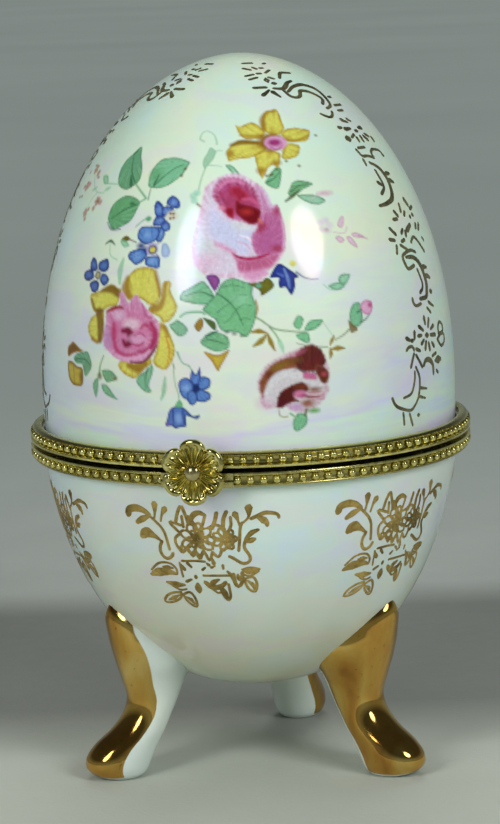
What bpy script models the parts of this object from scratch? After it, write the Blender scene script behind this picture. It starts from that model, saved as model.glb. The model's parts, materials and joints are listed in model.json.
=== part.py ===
"""Egg-shaped porcelain trinket box on three cabriole feet, with a hinged brass-rimmed lid.

Frame: metres, +Z up, the floor at Z = 0, the clasp at -Y and the hinge at +Y.
The egg's axis is the Z axis.
"""
import math

import bmesh
import bpy
import numpy as np
from mathutils import Matrix, Vector

MM = 0.001

# Driving dimensions, in millimetres
SEAM_Z = 53.5             # mid-plane of the gap between the two rims, above the floor
CLEARANCE = 0.3           # gap kept between neighbouring pieces
RING_STEPS = 64           # facets round every turned ring and shell

LID_RADIUS = 33.2         # widest porcelain radius of the lid
LID_WIDEST = 7.2          # height of that widest place above the seam
LID_RISE = 60.8           # top of the lid above the seam
LID_TAPER_IN = 0.35       # how much the lid draws in again at the seam
LID_BLUNTNESS = 2.16      # exponents of the egg's upper curve
LID_POINT = 0.526
LID_WALL = 2.7

BOWL_RADIUS = 34.2        # radius of the bowl's superellipse at its centre plane
BOWL_CENTRE = 14.0        # height of that plane above the seam
BOWL_REACH = 54.7         # from that plane down to the bowl's outer bottom
BOWL_POWER = 2.3
BOWL_WALL = 2.8

COLLAR_RADIUS = 35.4      # outer wall of both brass collars
COLLAR_WALL = 0.5
COLLAR_HEIGHT = 2.4
HALF_GAP = 0.32           # half the gap between the two collars
COLLAR_INNER = 29.2       # inside of the lip that stands in the porcelain mouth
LIP_HEIGHT = 1.9
RIM_FACE = 1.15           # porcelain rim face, from the seam

FOOT_ANGLES = {           # degrees from the clasp, seen from above, towards +X
    "foot_front_left": -50.5,
    "foot_front_right": 69.5,
    "foot_rear": 177.5,
}
# Height, inner reach, outer reach and half width of the foot's level sections
FOOT_SECTIONS = (
    (0.0, 21.6, 28.2, 3.0),
    (0.9, 20.7, 30.0, 3.9),
    (3.0, 19.6, 30.8, 4.4),
    (5.2, 18.4, 29.2, 4.3),
    (7.2, 17.3, 26.4, 4.2),
    (9.5, 16.2, 24.2, 4.1),
    (12.0, 15.0, 23.2, 4.3),
    (15.5, 13.4, 24.0, 5.2),
    (19.0, 11.0, 25.0, 6.8),
    (23.0, 8.4, 26.0, 6.7),
    (27.0, 6.0, 26.4, 4.6),
    (28.8, 5.5, 25.6, 2.2),
)
FOOT_STEPS = 20
FOOT_LEVELS = 15

HINGE_Y = 37.7            # hinge pin's axis behind the egg's axis
BARREL_RADIUS = 1.4
BORE_RADIUS = 0.85
PIN_RADIUS = 0.55
PIN_HEAD_RADIUS = 1.1
LEAF_HALF_WIDTH = 6.2
LEAF_THICKNESS = 0.5
LEAF_REACH = 2.6          # how far a leaf runs up or down from the seam
LEAF_NOTCH = 0.75         # where the opposite knuckle's notch ends
LID_KNUCKLE_HALF = 2.2
ROUND_STEPS = 24

KEEPER_HALF_ANGLE = 9.0   # degrees either side of the clasp's centre line
KEEPER_THICKNESS = 0.35
KEEPER_REACH = 2.55
TONGUE_HALF_WIDTH = 2.5
TONGUE_THICKNESS = 0.35
TONGUE_FACE = 36.65       # inner face of the tongue, in front of the egg's axis
TONGUE_TOP = 2.4
TONGUE_DROP = 3.0
TONGUE_PIVOT = 2.0        # height of the tongue's bend above the seam
FLOWER_RADIUS = 5.25
FLOWER_PETALS = 6
FLOWER_FACE = 37.3        # back of the flower, in front of the egg's axis
FLOWER_RAISE = 0.2        # flower's centre above the seam
FLOWER_HOLE = 0.85
RIVET_HEAD_RADIUS = 1.3
RIVET_TOP = 39.1
RIVET_SHANK = 0.55


def clear_scene():
    """Remove whatever the file holds."""
    for item in list(bpy.data.objects):
        bpy.data.objects.remove(item, do_unlink=True)


def material(name, colour, roughness, metallic):
    """A Principled material with one colour."""
    made = bpy.data.materials.new(name)
    made.use_nodes = True
    shader = made.node_tree.nodes["Principled BSDF"]
    shader.inputs["Base Color"].default_value = (*colour, 1.0)
    shader.inputs["Roughness"].default_value = roughness
    shader.inputs["Metallic"].default_value = metallic
    return made


def add_mesh(name, builder, finish, smooth_angle=30.0):
    """Turn a bmesh in millimetres into a named object in metres."""
    bmesh.ops.remove_doubles(builder, verts=builder.verts, dist=1e-5)
    bmesh.ops.recalc_face_normals(builder, faces=builder.faces)
    if builder.calc_volume(signed=True) < 0:
        bmesh.ops.reverse_faces(builder, faces=builder.faces)
    bmesh.ops.scale(builder, vec=(MM, MM, MM), verts=builder.verts)
    mesh = bpy.data.meshes.new(name)
    builder.to_mesh(mesh)
    builder.free()
    mesh.shade_smooth()
    mesh.set_sharp_from_angle(angle=math.radians(smooth_angle))
    made = bpy.data.objects.new(name, mesh)
    made.data.materials.append(finish)
    bpy.context.scene.collection.objects.link(made)
    return made


def bridge(builder, lower, upper):
    """Join two rows of vertices with quads, or triangles where a row is one point."""
    count = max(len(lower), len(upper))
    for i in range(count):
        corners = []
        for vert in (
            lower[i % len(lower)],
            lower[(i + 1) % len(lower)],
            upper[(i + 1) % len(upper)],
            upper[i % len(upper)],
        ):
            if vert not in corners:
                corners.append(vert)
        if len(corners) > 2:
            builder.faces.new(corners)


def turned(name, outline, finish, steps=RING_STEPS):
    """Turn an outline of (radius, height) round Z.

    An outline that starts and ends on the axis makes a shell. Any other closes on itself as a ring.
    """
    builder = bmesh.new()
    rows = []
    for radius, height in outline:
        if radius < 1e-6:
            rows.append([builder.verts.new((0, 0, height))])
            continue
        row = []
        for i in range(steps):
            angle = math.tau * i / steps
            row.append(builder.verts.new((radius * math.cos(angle), radius * math.sin(angle), height)))
        rows.append(row)
    for lower, upper in zip(rows, rows[1:]):
        bridge(builder, lower, upper)
    if len(rows[0]) > 1:
        bridge(builder, rows[-1], rows[0])
    return add_mesh(name, builder, finish)


def sector(name, outline, finish, half_angle, steps):
    """Turn a closed outline of (radius, height) through a short arc centred on -Y."""
    builder = bmesh.new()
    rows = []
    for i in range(steps + 1):
        angle = math.radians(-90 - half_angle + 2 * half_angle * i / steps)
        rows.append([
            builder.verts.new((radius * math.cos(angle), radius * math.sin(angle), height))
            for radius, height in outline
        ])
    for lower, upper in zip(rows, rows[1:]):
        bridge(builder, lower, upper)
    builder.faces.new(rows[0])
    builder.faces.new(rows[-1])
    return add_mesh(name, builder, finish)


def box(name, low, high, finish):
    """A plain block between two corners."""
    builder = bmesh.new()
    bmesh.ops.create_cube(builder, size=1.0)
    size = [b - a for a, b in zip(low, high)]
    middle = [(a + b) / 2 for a, b in zip(low, high)]
    bmesh.ops.scale(builder, vec=size, verts=builder.verts)
    bmesh.ops.translate(builder, vec=middle, verts=builder.verts)
    return add_mesh(name, builder, finish)


def rod(name, radii, stations, turn, place, finish, steps=ROUND_STEPS):
    """A solid turned bar: radii at stations along its own Z, then turned and placed."""
    builder = bmesh.new()
    rows = []
    for radius, station in zip(radii, stations):
        count = steps if radius > 1e-6 else 1
        rows.append([
            builder.verts.new((
                radius * math.cos(math.tau * i / steps),
                radius * math.sin(math.tau * i / steps),
                station,
            ))
            for i in range(count)
        ])
    for lower, upper in zip(rows, rows[1:]):
        bridge(builder, lower, upper)
    for row in (rows[0], rows[-1]):
        if len(row) > 1:
            builder.faces.new(row)
    bmesh.ops.transform(builder, matrix=Matrix.Translation(place) @ turn, verts=builder.verts)
    return add_mesh(name, builder, finish)


def combine(target, tool, operation):
    """Apply an exact Boolean of tool on target and remove the tool."""
    cut = target.modifiers.new("cut", "BOOLEAN")
    cut.operation = operation
    cut.solver = "EXACT"
    cut.object = tool
    bpy.context.view_layer.update()
    evaluated = target.evaluated_get(bpy.context.evaluated_depsgraph_get())
    result = bpy.data.meshes.new_from_object(evaluated)
    target.modifiers.remove(cut)
    target.data = result
    bpy.data.objects.remove(tool, do_unlink=True)
    return target


def lid_radius(height, shrink=0.0):
    """Radius of the lid at a height above the seam, moved inwards by shrink."""
    widest = LID_RADIUS - shrink
    if height <= LID_WIDEST:
        return widest - LID_TAPER_IN * ((LID_WIDEST - height) / LID_WIDEST) ** 2
    climb = (height - LID_WIDEST) / (LID_RISE - shrink - LID_WIDEST)
    return widest * max(0.0, 1 - climb ** LID_BLUNTNESS) ** LID_POINT


def bowl_radius(depth, shrink=0.0):
    """Radius of the bowl at a depth below the seam, moved inwards by shrink."""
    fall = (BOWL_CENTRE + depth) / (BOWL_REACH - shrink)
    return (BOWL_RADIUS - shrink) * max(0.0, 1 - fall ** BOWL_POWER) ** (1 / BOWL_POWER)


def eased(count):
    """Numbers from 0 to 1 that crowd towards 1, where a dome closes."""
    return np.sin(np.linspace(0, math.pi / 2, count))


def make_lid_shell(finish):
    """The porcelain upper half of the egg, open downwards."""
    rows = 14
    outer_span = LID_RISE - RIM_FACE
    outer = [RIM_FACE + outer_span * t for t in eased(rows)]
    inner_span = outer_span - LID_WALL
    inner = [RIM_FACE + inner_span * t for t in eased(rows)]
    outline = [(lid_radius(h), SEAM_Z + h) for h in reversed(outer)]
    outline[0] = (0.0, SEAM_Z + LID_RISE)
    outline += [(lid_radius(h, LID_WALL), SEAM_Z + h) for h in inner]
    outline[-1] = (0.0, SEAM_Z + LID_RISE - LID_WALL)
    return turned("lid_shell", outline, finish)


def bowl_outline(grow=0.0, wall=0.0):
    """Bowl heights and radii from the rim down to the middle of the bottom."""
    rows = 13
    bottom = BOWL_REACH - BOWL_CENTRE - wall + grow
    depths = [RIM_FACE + (bottom - RIM_FACE) * t for t in eased(rows)]
    outline = [(bowl_radius(d, wall - grow), SEAM_Z - d) for d in depths]
    outline[-1] = (0.0, SEAM_Z - bottom)
    return outline


def make_base_shell(finish):
    """The porcelain bowl, open upwards."""
    outline = list(reversed(bowl_outline())) + bowl_outline(wall=BOWL_WALL)
    return turned("base_shell", outline, finish)


def collar_outline(side):
    """Channel section of a collar; side is +1 on the lid and -1 on the base."""
    face = HALF_GAP
    inside = COLLAR_RADIUS - COLLAR_WALL
    lip = COLLAR_INNER + COLLAR_WALL
    points = [
        (COLLAR_RADIUS - 0.15, face),
        (COLLAR_RADIUS, face + 0.15),
        (COLLAR_RADIUS, face + COLLAR_HEIGHT - 0.7),
        (COLLAR_RADIUS - 1.0, face + COLLAR_HEIGHT),
        (COLLAR_RADIUS - 1.5, face + COLLAR_HEIGHT),
        (inside, face + COLLAR_HEIGHT - 1.0),
        (inside, face + COLLAR_WALL),
        (lip, face + COLLAR_WALL),
        (lip, face + LIP_HEIGHT),
        (COLLAR_INNER, face + LIP_HEIGHT),
        (COLLAR_INNER, face),
    ]
    return [(radius, SEAM_Z + side * height) for radius, height in points]


def cement_outline(side, porcelain):
    """Square bead of cement between a collar's wall and the porcelain."""
    inner = porcelain + CLEARANCE
    outer = COLLAR_RADIUS - COLLAR_WALL - CLEARANCE
    low = HALF_GAP + COLLAR_WALL + CLEARANCE
    high = low + 0.7
    points = [(outer, low), (outer, high), (inner, high), (inner, low)]
    return [(radius, SEAM_Z + side * height) for radius, height in points]


def section_at(height):
    """Inner reach, outer reach and half width of a foot at a height, smoothly blended."""
    table = np.array(FOOT_SECTIONS)
    slopes = np.gradient(table[:, 1:], table[:, 0], axis=0)
    place = int(np.clip(np.searchsorted(table[:, 0], height) - 1, 0, len(table) - 2))
    span = table[place + 1, 0] - table[place, 0]
    t = (height - table[place, 0]) / span
    start = (1 + 2 * t) * (1 - t) ** 2 * table[place, 1:]
    end = t * t * (3 - 2 * t) * table[place + 1, 1:]
    leave = t * (1 - t) ** 2 * span * slopes[place]
    arrive = t * t * (t - 1) * span * slopes[place + 1]
    return start + end + leave + arrive


def make_foot(name, angle, finish):
    """A cabriole foot: level rounded sections, cut to the bowl it is luted to."""
    builder = bmesh.new()
    top = FOOT_SECTIONS[-1][0]
    turn = math.radians(angle - 90)
    rows = []
    for level in range(FOOT_LEVELS):
        height = top * (level / (FOOT_LEVELS - 1)) ** 1.15
        inner, outer, half_width = section_at(height)
        row = []
        for i in range(FOOT_STEPS):
            around = math.tau * (i + 0.5) / FOOT_STEPS
            reach = (inner + outer) / 2 + (outer - inner) / 2 * math.cos(around)
            aside = half_width * math.sin(around)
            row.append(builder.verts.new((
                reach * math.cos(turn) - aside * math.sin(turn),
                reach * math.sin(turn) + aside * math.cos(turn),
                height,
            )))
        rows.append(row)
    for lower, upper in zip(rows, rows[1:]):
        bridge(builder, lower, upper)
    builder.faces.new(rows[0])
    builder.faces.new(rows[-1])
    bmesh.ops.triangulate(builder, faces=builder.faces)
    foot = add_mesh(name, builder, finish, smooth_angle=50.0)
    outline = bowl_outline(grow=CLEARANCE)
    cutter = turned("bowl_cutter", [(0.0, SEAM_Z), *outline], finish)
    return combine(foot, cutter, "DIFFERENCE")


def make_leaf(name, side, knuckles, finish):
    """A hinge leaf with its rolled knuckles; side is +1 on the lid and -1 on the base."""
    plate_y = COLLAR_RADIUS + CLEARANCE
    rise = sorted((SEAM_Z + side * LEAF_NOTCH, SEAM_Z + side * LEAF_REACH))
    leaf = box(
        name,
        (-LEAF_HALF_WIDTH, plate_y, rise[0]),
        (LEAF_HALF_WIDTH, plate_y + LEAF_THICKNESS, rise[1]),
        finish,
    )
    along = Matrix.Rotation(math.pi / 2, 4, "Y")
    axis = Vector((0, HINGE_Y, SEAM_Z))
    for low, high in knuckles:
        web_rise = sorted((SEAM_Z + side * 0.35, SEAM_Z + side * 1.3))
        web = box("web", (low, plate_y, web_rise[0]), (high, HINGE_Y - 0.3, web_rise[1]), finish)
        leaf = combine(leaf, web, "UNION")
        barrel = rod("barrel", (BARREL_RADIUS,) * 2, (low, high), along, axis, finish)
        leaf = combine(leaf, barrel, "UNION")
    reach = LEAF_HALF_WIDTH + 1
    bore = rod("bore", (BORE_RADIUS,) * 2, (-reach, reach), along, axis, finish)
    return combine(leaf, bore, "DIFFERENCE")


def make_hinge_pin(finish):
    """A plain pin with both ends peened over outside the knuckles."""
    end = LEAF_HALF_WIDTH + CLEARANCE
    radii = (0.7, PIN_HEAD_RADIUS, PIN_HEAD_RADIUS, PIN_RADIUS, PIN_RADIUS, PIN_HEAD_RADIUS, PIN_HEAD_RADIUS, 0.7)
    stations = (-end - 0.6, -end - 0.35, -end, -end, end, end, end + 0.35, end + 0.6)
    return rod(
        "hinge_pin",
        radii,
        stations,
        Matrix.Rotation(math.pi / 2, 4, "Y"),
        Vector((0, HINGE_Y, SEAM_Z)),
        finish,
        steps=16,
    )


def make_keeper(finish):
    """Curved plate on the base collar with the small ridge that the tongue rides over."""
    low = COLLAR_RADIUS + 0.25
    high = low + KEEPER_THICKNESS
    outline = [
        (low, SEAM_Z - HALF_GAP),
        (high, SEAM_Z - HALF_GAP),
        (high, SEAM_Z - 1.3),
        (high + 0.3, SEAM_Z - 1.6),
        (high, SEAM_Z - 1.9),
        (high, SEAM_Z - KEEPER_REACH),
        (low, SEAM_Z - KEEPER_REACH),
    ]
    return sector("clasp_keeper", outline, finish, KEEPER_HALF_ANGLE, 8)


def make_lug(finish):
    """Small block on the lid collar that carries the tongue."""
    low = COLLAR_RADIUS + 0.25
    high = TONGUE_FACE - CLEARANCE
    outline = [
        (low, SEAM_Z + 0.9),
        (high, SEAM_Z + 0.9),
        (high, SEAM_Z + 2.4),
        (low, SEAM_Z + 2.4),
    ]
    return sector("clasp_lug", outline, finish, 4.0, 4)


def make_tongue(finish):
    """Springy tongue that hangs from the lug, with a hole for the rivet."""
    tongue = box(
        "clasp_tongue",
        (-TONGUE_HALF_WIDTH, -TONGUE_FACE - TONGUE_THICKNESS, SEAM_Z - TONGUE_DROP),
        (TONGUE_HALF_WIDTH, -TONGUE_FACE, SEAM_Z + TONGUE_TOP),
        finish,
    )
    across = Matrix.Rotation(math.pi / 2, 4, "X")
    centre = Vector((0, 0, SEAM_Z + FLOWER_RAISE))
    hole = rod("hole", (FLOWER_HOLE,) * 2, (TONGUE_FACE - 1, TONGUE_FACE + 2), across, centre, finish)
    return combine(tongue, hole, "DIFFERENCE")


def petal_reach(angle):
    """Outline of the six-petalled flower: round lobes with a notch between them."""
    lobe = abs(math.cos(FLOWER_PETALS * angle / 2))
    return FLOWER_RADIUS * (0.84 + 0.16 * lobe ** 0.6)


def make_flower(finish):
    """Cast six-petalled flower, dished towards the rivet in its middle."""
    steps = FLOWER_PETALS * 10
    # Share of the petal's reach and depth in front of the back face
    rings = ((None, 0.0), (None, 0.6), (0.45, 0.75), (0.75, 1.0), (0.93, 0.95), (1.0, 0.6), (1.0, 0.25), (0.93, 0.0))
    builder = bmesh.new()
    rows = []
    for share, depth in rings:
        row = []
        for i in range(steps):
            angle = math.tau * i / steps
            reach = FLOWER_HOLE if share is None else petal_reach(angle) * share
            row.append(builder.verts.new((
                reach * math.sin(angle),
                -FLOWER_FACE - depth,
                SEAM_Z + FLOWER_RAISE + reach * math.cos(angle),
            )))
        rows.append(row)
    for lower, upper in zip(rows, rows[1:] + rows[:1]):
        bridge(builder, lower, upper)
    bmesh.ops.triangulate(builder, faces=builder.faces)
    return add_mesh("clasp_flower", builder, finish)


def make_rivet(finish):
    """Domed rivet that holds the flower to the tongue."""
    head = FLOWER_FACE + 0.6 + CLEARANCE
    dome = RIVET_TOP - head
    radii = [RIVET_SHANK, RIVET_SHANK]
    stations = [TONGUE_FACE + 0.02, head]
    for t in np.linspace(0, math.pi / 2, 5):
        radii.append(RIVET_HEAD_RADIUS * math.cos(t))
        stations.append(head + dome * math.sin(t))
    radii[-1] = 0.0
    return rod(
        "clasp_rivet",
        radii,
        stations,
        Matrix.Rotation(math.pi / 2, 4, "X"),
        Vector((0, 0, SEAM_Z + FLOWER_RAISE)),
        finish,
        steps=16,
    )


def joint_empty(name, place):
    """Empty that marks a joint's axis and carries the pieces that turn about it."""
    empty = bpy.data.objects.new(name, None)
    empty.empty_display_size = 0.01
    empty.location = place
    bpy.context.scene.collection.objects.link(empty)
    return empty


def carry(parent, pieces):
    """Parent pieces without moving them."""
    bpy.context.view_layer.update()
    for piece in pieces:
        piece.parent = parent
        piece.matrix_parent_inverse = parent.matrix_world.inverted()


def build():
    """Make every piece and hang the moving ones on their joints."""
    clear_scene()
    glaze = material("pearl_porcelain", (0.80, 0.84, 0.80), 0.12, 0.0)
    gilt = material("gilt_porcelain", (0.62, 0.42, 0.12), 0.22, 1.0)
    brass = material("stamped_brass", (0.70, 0.58, 0.20), 0.25, 1.0)
    cement = material("rim_cement", (0.62, 0.60, 0.54), 0.9, 0.0)

    lid_shell = make_lid_shell(glaze)
    make_base_shell(glaze)
    for name, angle in FOOT_ANGLES.items():
        make_foot(name, angle, gilt)
    lid_collar = turned("lid_collar", collar_outline(1), brass)
    turned("base_collar", collar_outline(-1), brass)
    lid_cement = turned("lid_cement_bed", cement_outline(1, lid_radius(RIM_FACE)), cement)
    turned("base_cement_bed", cement_outline(-1, bowl_radius(RIM_FACE)), cement)

    inner_end = LID_KNUCKLE_HALF + CLEARANCE
    outer_knuckles = ((-LEAF_HALF_WIDTH, -inner_end), (inner_end, LEAF_HALF_WIDTH))
    lid_leaf = make_leaf("lid_hinge_leaf", 1, ((-LID_KNUCKLE_HALF, LID_KNUCKLE_HALF),), brass)
    make_leaf("base_hinge_leaf", -1, outer_knuckles, brass)
    make_hinge_pin(brass)

    make_keeper(brass)
    lug = make_lug(brass)
    tongue = make_tongue(brass)
    flower = make_flower(brass)
    rivet = make_rivet(brass)

    lid_joint = joint_empty("lid_hinge_axis", Vector((0, HINGE_Y, SEAM_Z)) * MM)
    tongue_joint = joint_empty("tongue_bend_axis", Vector((0, -TONGUE_FACE, SEAM_Z + TONGUE_PIVOT)) * MM)
    carry(lid_joint, (lid_shell, lid_collar, lid_cement, lid_leaf, lug, tongue_joint))
    carry(tongue_joint, (tongue, flower, rivet))


build()
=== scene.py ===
import json
import math

import bmesh
import bpy
import numpy as np
from mathutils import Matrix, Vector


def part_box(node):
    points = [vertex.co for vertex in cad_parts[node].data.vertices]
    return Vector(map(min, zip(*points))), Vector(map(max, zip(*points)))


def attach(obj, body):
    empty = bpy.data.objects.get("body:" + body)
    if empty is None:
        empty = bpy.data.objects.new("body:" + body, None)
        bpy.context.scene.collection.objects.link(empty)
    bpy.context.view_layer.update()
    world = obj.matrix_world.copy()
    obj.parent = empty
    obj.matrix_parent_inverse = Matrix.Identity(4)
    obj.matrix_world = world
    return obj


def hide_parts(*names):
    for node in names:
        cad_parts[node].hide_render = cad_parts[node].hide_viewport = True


# Looks of an egg-shaped porcelain trinket box: pearl glaze with an enamelled bouquet, gilding and
# beaded brass rims. Lengths are in millimetres until a mesh is made. Places on the egg are given
# as (angle, height): degrees from the clasp towards +X, and millimetres above the seam.

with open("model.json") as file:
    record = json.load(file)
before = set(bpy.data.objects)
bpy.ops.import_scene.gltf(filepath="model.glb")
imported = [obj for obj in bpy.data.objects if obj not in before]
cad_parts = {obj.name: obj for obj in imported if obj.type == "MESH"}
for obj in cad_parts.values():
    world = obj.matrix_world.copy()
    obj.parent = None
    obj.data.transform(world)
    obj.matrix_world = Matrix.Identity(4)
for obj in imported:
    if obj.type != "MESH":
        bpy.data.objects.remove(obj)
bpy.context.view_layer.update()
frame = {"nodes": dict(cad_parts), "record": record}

MM = 0.001
DEGREE = math.pi / 180

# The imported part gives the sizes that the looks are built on
SEAM_Z = (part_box("lid_collar")[0].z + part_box("base_collar")[1].z) / 2 / MM
LID_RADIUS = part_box("lid_shell")[1].x / MM
LID_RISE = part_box("lid_shell")[1].z / MM - SEAM_Z
BOWL_DROP = SEAM_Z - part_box("base_shell")[0].z / MM
COLLAR_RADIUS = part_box("lid_collar")[1].x / MM
RIM_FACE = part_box("lid_shell")[0].z / MM - SEAM_Z

LID_WIDEST = 7.2          # height of the lid's widest place above the seam
LID_TAPER_IN = 0.35       # how much it draws in again at the seam
LID_BLUNTNESS = 2.16      # exponents of the egg's upper curve
LID_POINT = 0.526
LID_WALL = 2.7            # thickness of the porcelain
BOWL_RADIUS = 34.2        # the bowl's superellipse: radius, height of its centre, and power
BOWL_CENTRE = 14.0
BOWL_POWER = 2.3
BOWL_WALL = 2.8
EDGE_CREST = (0.35, 0.05)  # the shells' rounded edges crest this far in, and this far out of the face

STUDIO_LIGHT = 0.97       # how bright white looks on the egg's front in this light


def lid_radius(height, shrink=0.0):
    """Radius of the lid at a height above the seam, moved inwards by shrink."""
    height = np.asarray(height, float)
    widest = LID_RADIUS - shrink
    low = widest - LID_TAPER_IN * ((LID_WIDEST - height) / LID_WIDEST) ** 2
    climb = np.clip((height - LID_WIDEST) / (LID_RISE - shrink - LID_WIDEST), 0, 1)
    high = widest * (1 - climb ** LID_BLUNTNESS) ** LID_POINT
    return np.where(height <= LID_WIDEST, low, high)


def bowl_radius(height, shrink=0.0):
    """Radius of the bowl at a height, negative below the seam, moved inwards by shrink."""
    reach = BOWL_DROP + BOWL_CENTRE - shrink
    fall = np.clip((BOWL_CENTRE - np.asarray(height, float)) / reach, 0, 1)
    return (BOWL_RADIUS - shrink) * (1 - fall ** BOWL_POWER) ** (1 / BOWL_POWER)


def on_egg(radius_at, angle, height, lift=0.0):
    """Points on the lid or bowl, lifted off the glaze along the surface's own normal."""
    angle = np.asarray(angle, float) * DEGREE
    height = np.asarray(height, float)
    step = 0.02
    radius = radius_at(height)
    slope = (radius_at(height + step) - radius_at(height - step)) / (2 * step)
    steep = np.sqrt(1 + slope ** 2)
    radius = radius + lift / steep
    height = height - lift * slope / steep
    return np.stack([radius * np.sin(angle), -radius * np.cos(angle), SEAM_Z + height], -1)


def curve_through(points, closed=False, steps=4):
    """Catmull-Rom curve through points of any dimension."""
    points = np.asarray(points, float)
    if len(points) < 3 and not closed:
        return points
    if closed:
        padded = np.concatenate([points[-1:], points, points[:2]])
    else:
        padded = np.concatenate([2 * points[:1] - points[1:2], points, 2 * points[-1:] - points[-2:-1]])
    before, start, end, after = padded[:-3], padded[1:-2], padded[2:-1], padded[3:]
    curve = []
    for i in range(steps):
        t = i / steps
        curve.append(0.5 * (
            2 * start
            + (end - before) * t
            + (2 * before - 5 * start + 4 * end - after) * t ** 2
            + (3 * start - before - 3 * end + after) * t ** 3
        ))
    curve = np.stack(curve, 1).reshape(-1, points.shape[1])
    return curve if closed else np.concatenate([curve, points[-1:]])


def seen(colour):
    """Linear paint colour that shows as the given 8-bit colour under the studio light."""
    share = np.array(colour, float) / 255
    light = np.where(share <= 0.04045, share / 12.92, ((share + 0.055) / 1.055) ** 2.4)
    return light / STUDIO_LIGHT


# ---------------------------------------------------------------------------- enamel painting

# Enamel colours as they should look, in 8-bit red, green and blue
LEAF = (88, 160, 112)
LEAF_PALE = (140, 196, 160)
LEAF_DARK = (38, 92, 60)
OLIVE = (86, 84, 22)
MIDRIB = (52, 116, 78)
YELLOW = (203, 200, 88)
OCHRE = (150, 110, 20)
BROWN = (115, 78, 8)
NAVY = (30, 45, 125)
BLUE = (84, 122, 190)
SKY = (130, 165, 215)
WINE = (150, 30, 55)
BLUSH = (212, 172, 198)
MAROON = (98, 32, 16)

ARC_HEIGHTS = np.linspace(0, LID_RISE, 4000)
ARC_LENGTHS = np.concatenate([
    [0],
    np.cumsum(np.hypot(np.diff(ARC_HEIGHTS), np.diff(lid_radius(ARC_HEIGHTS)))),
])


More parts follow.
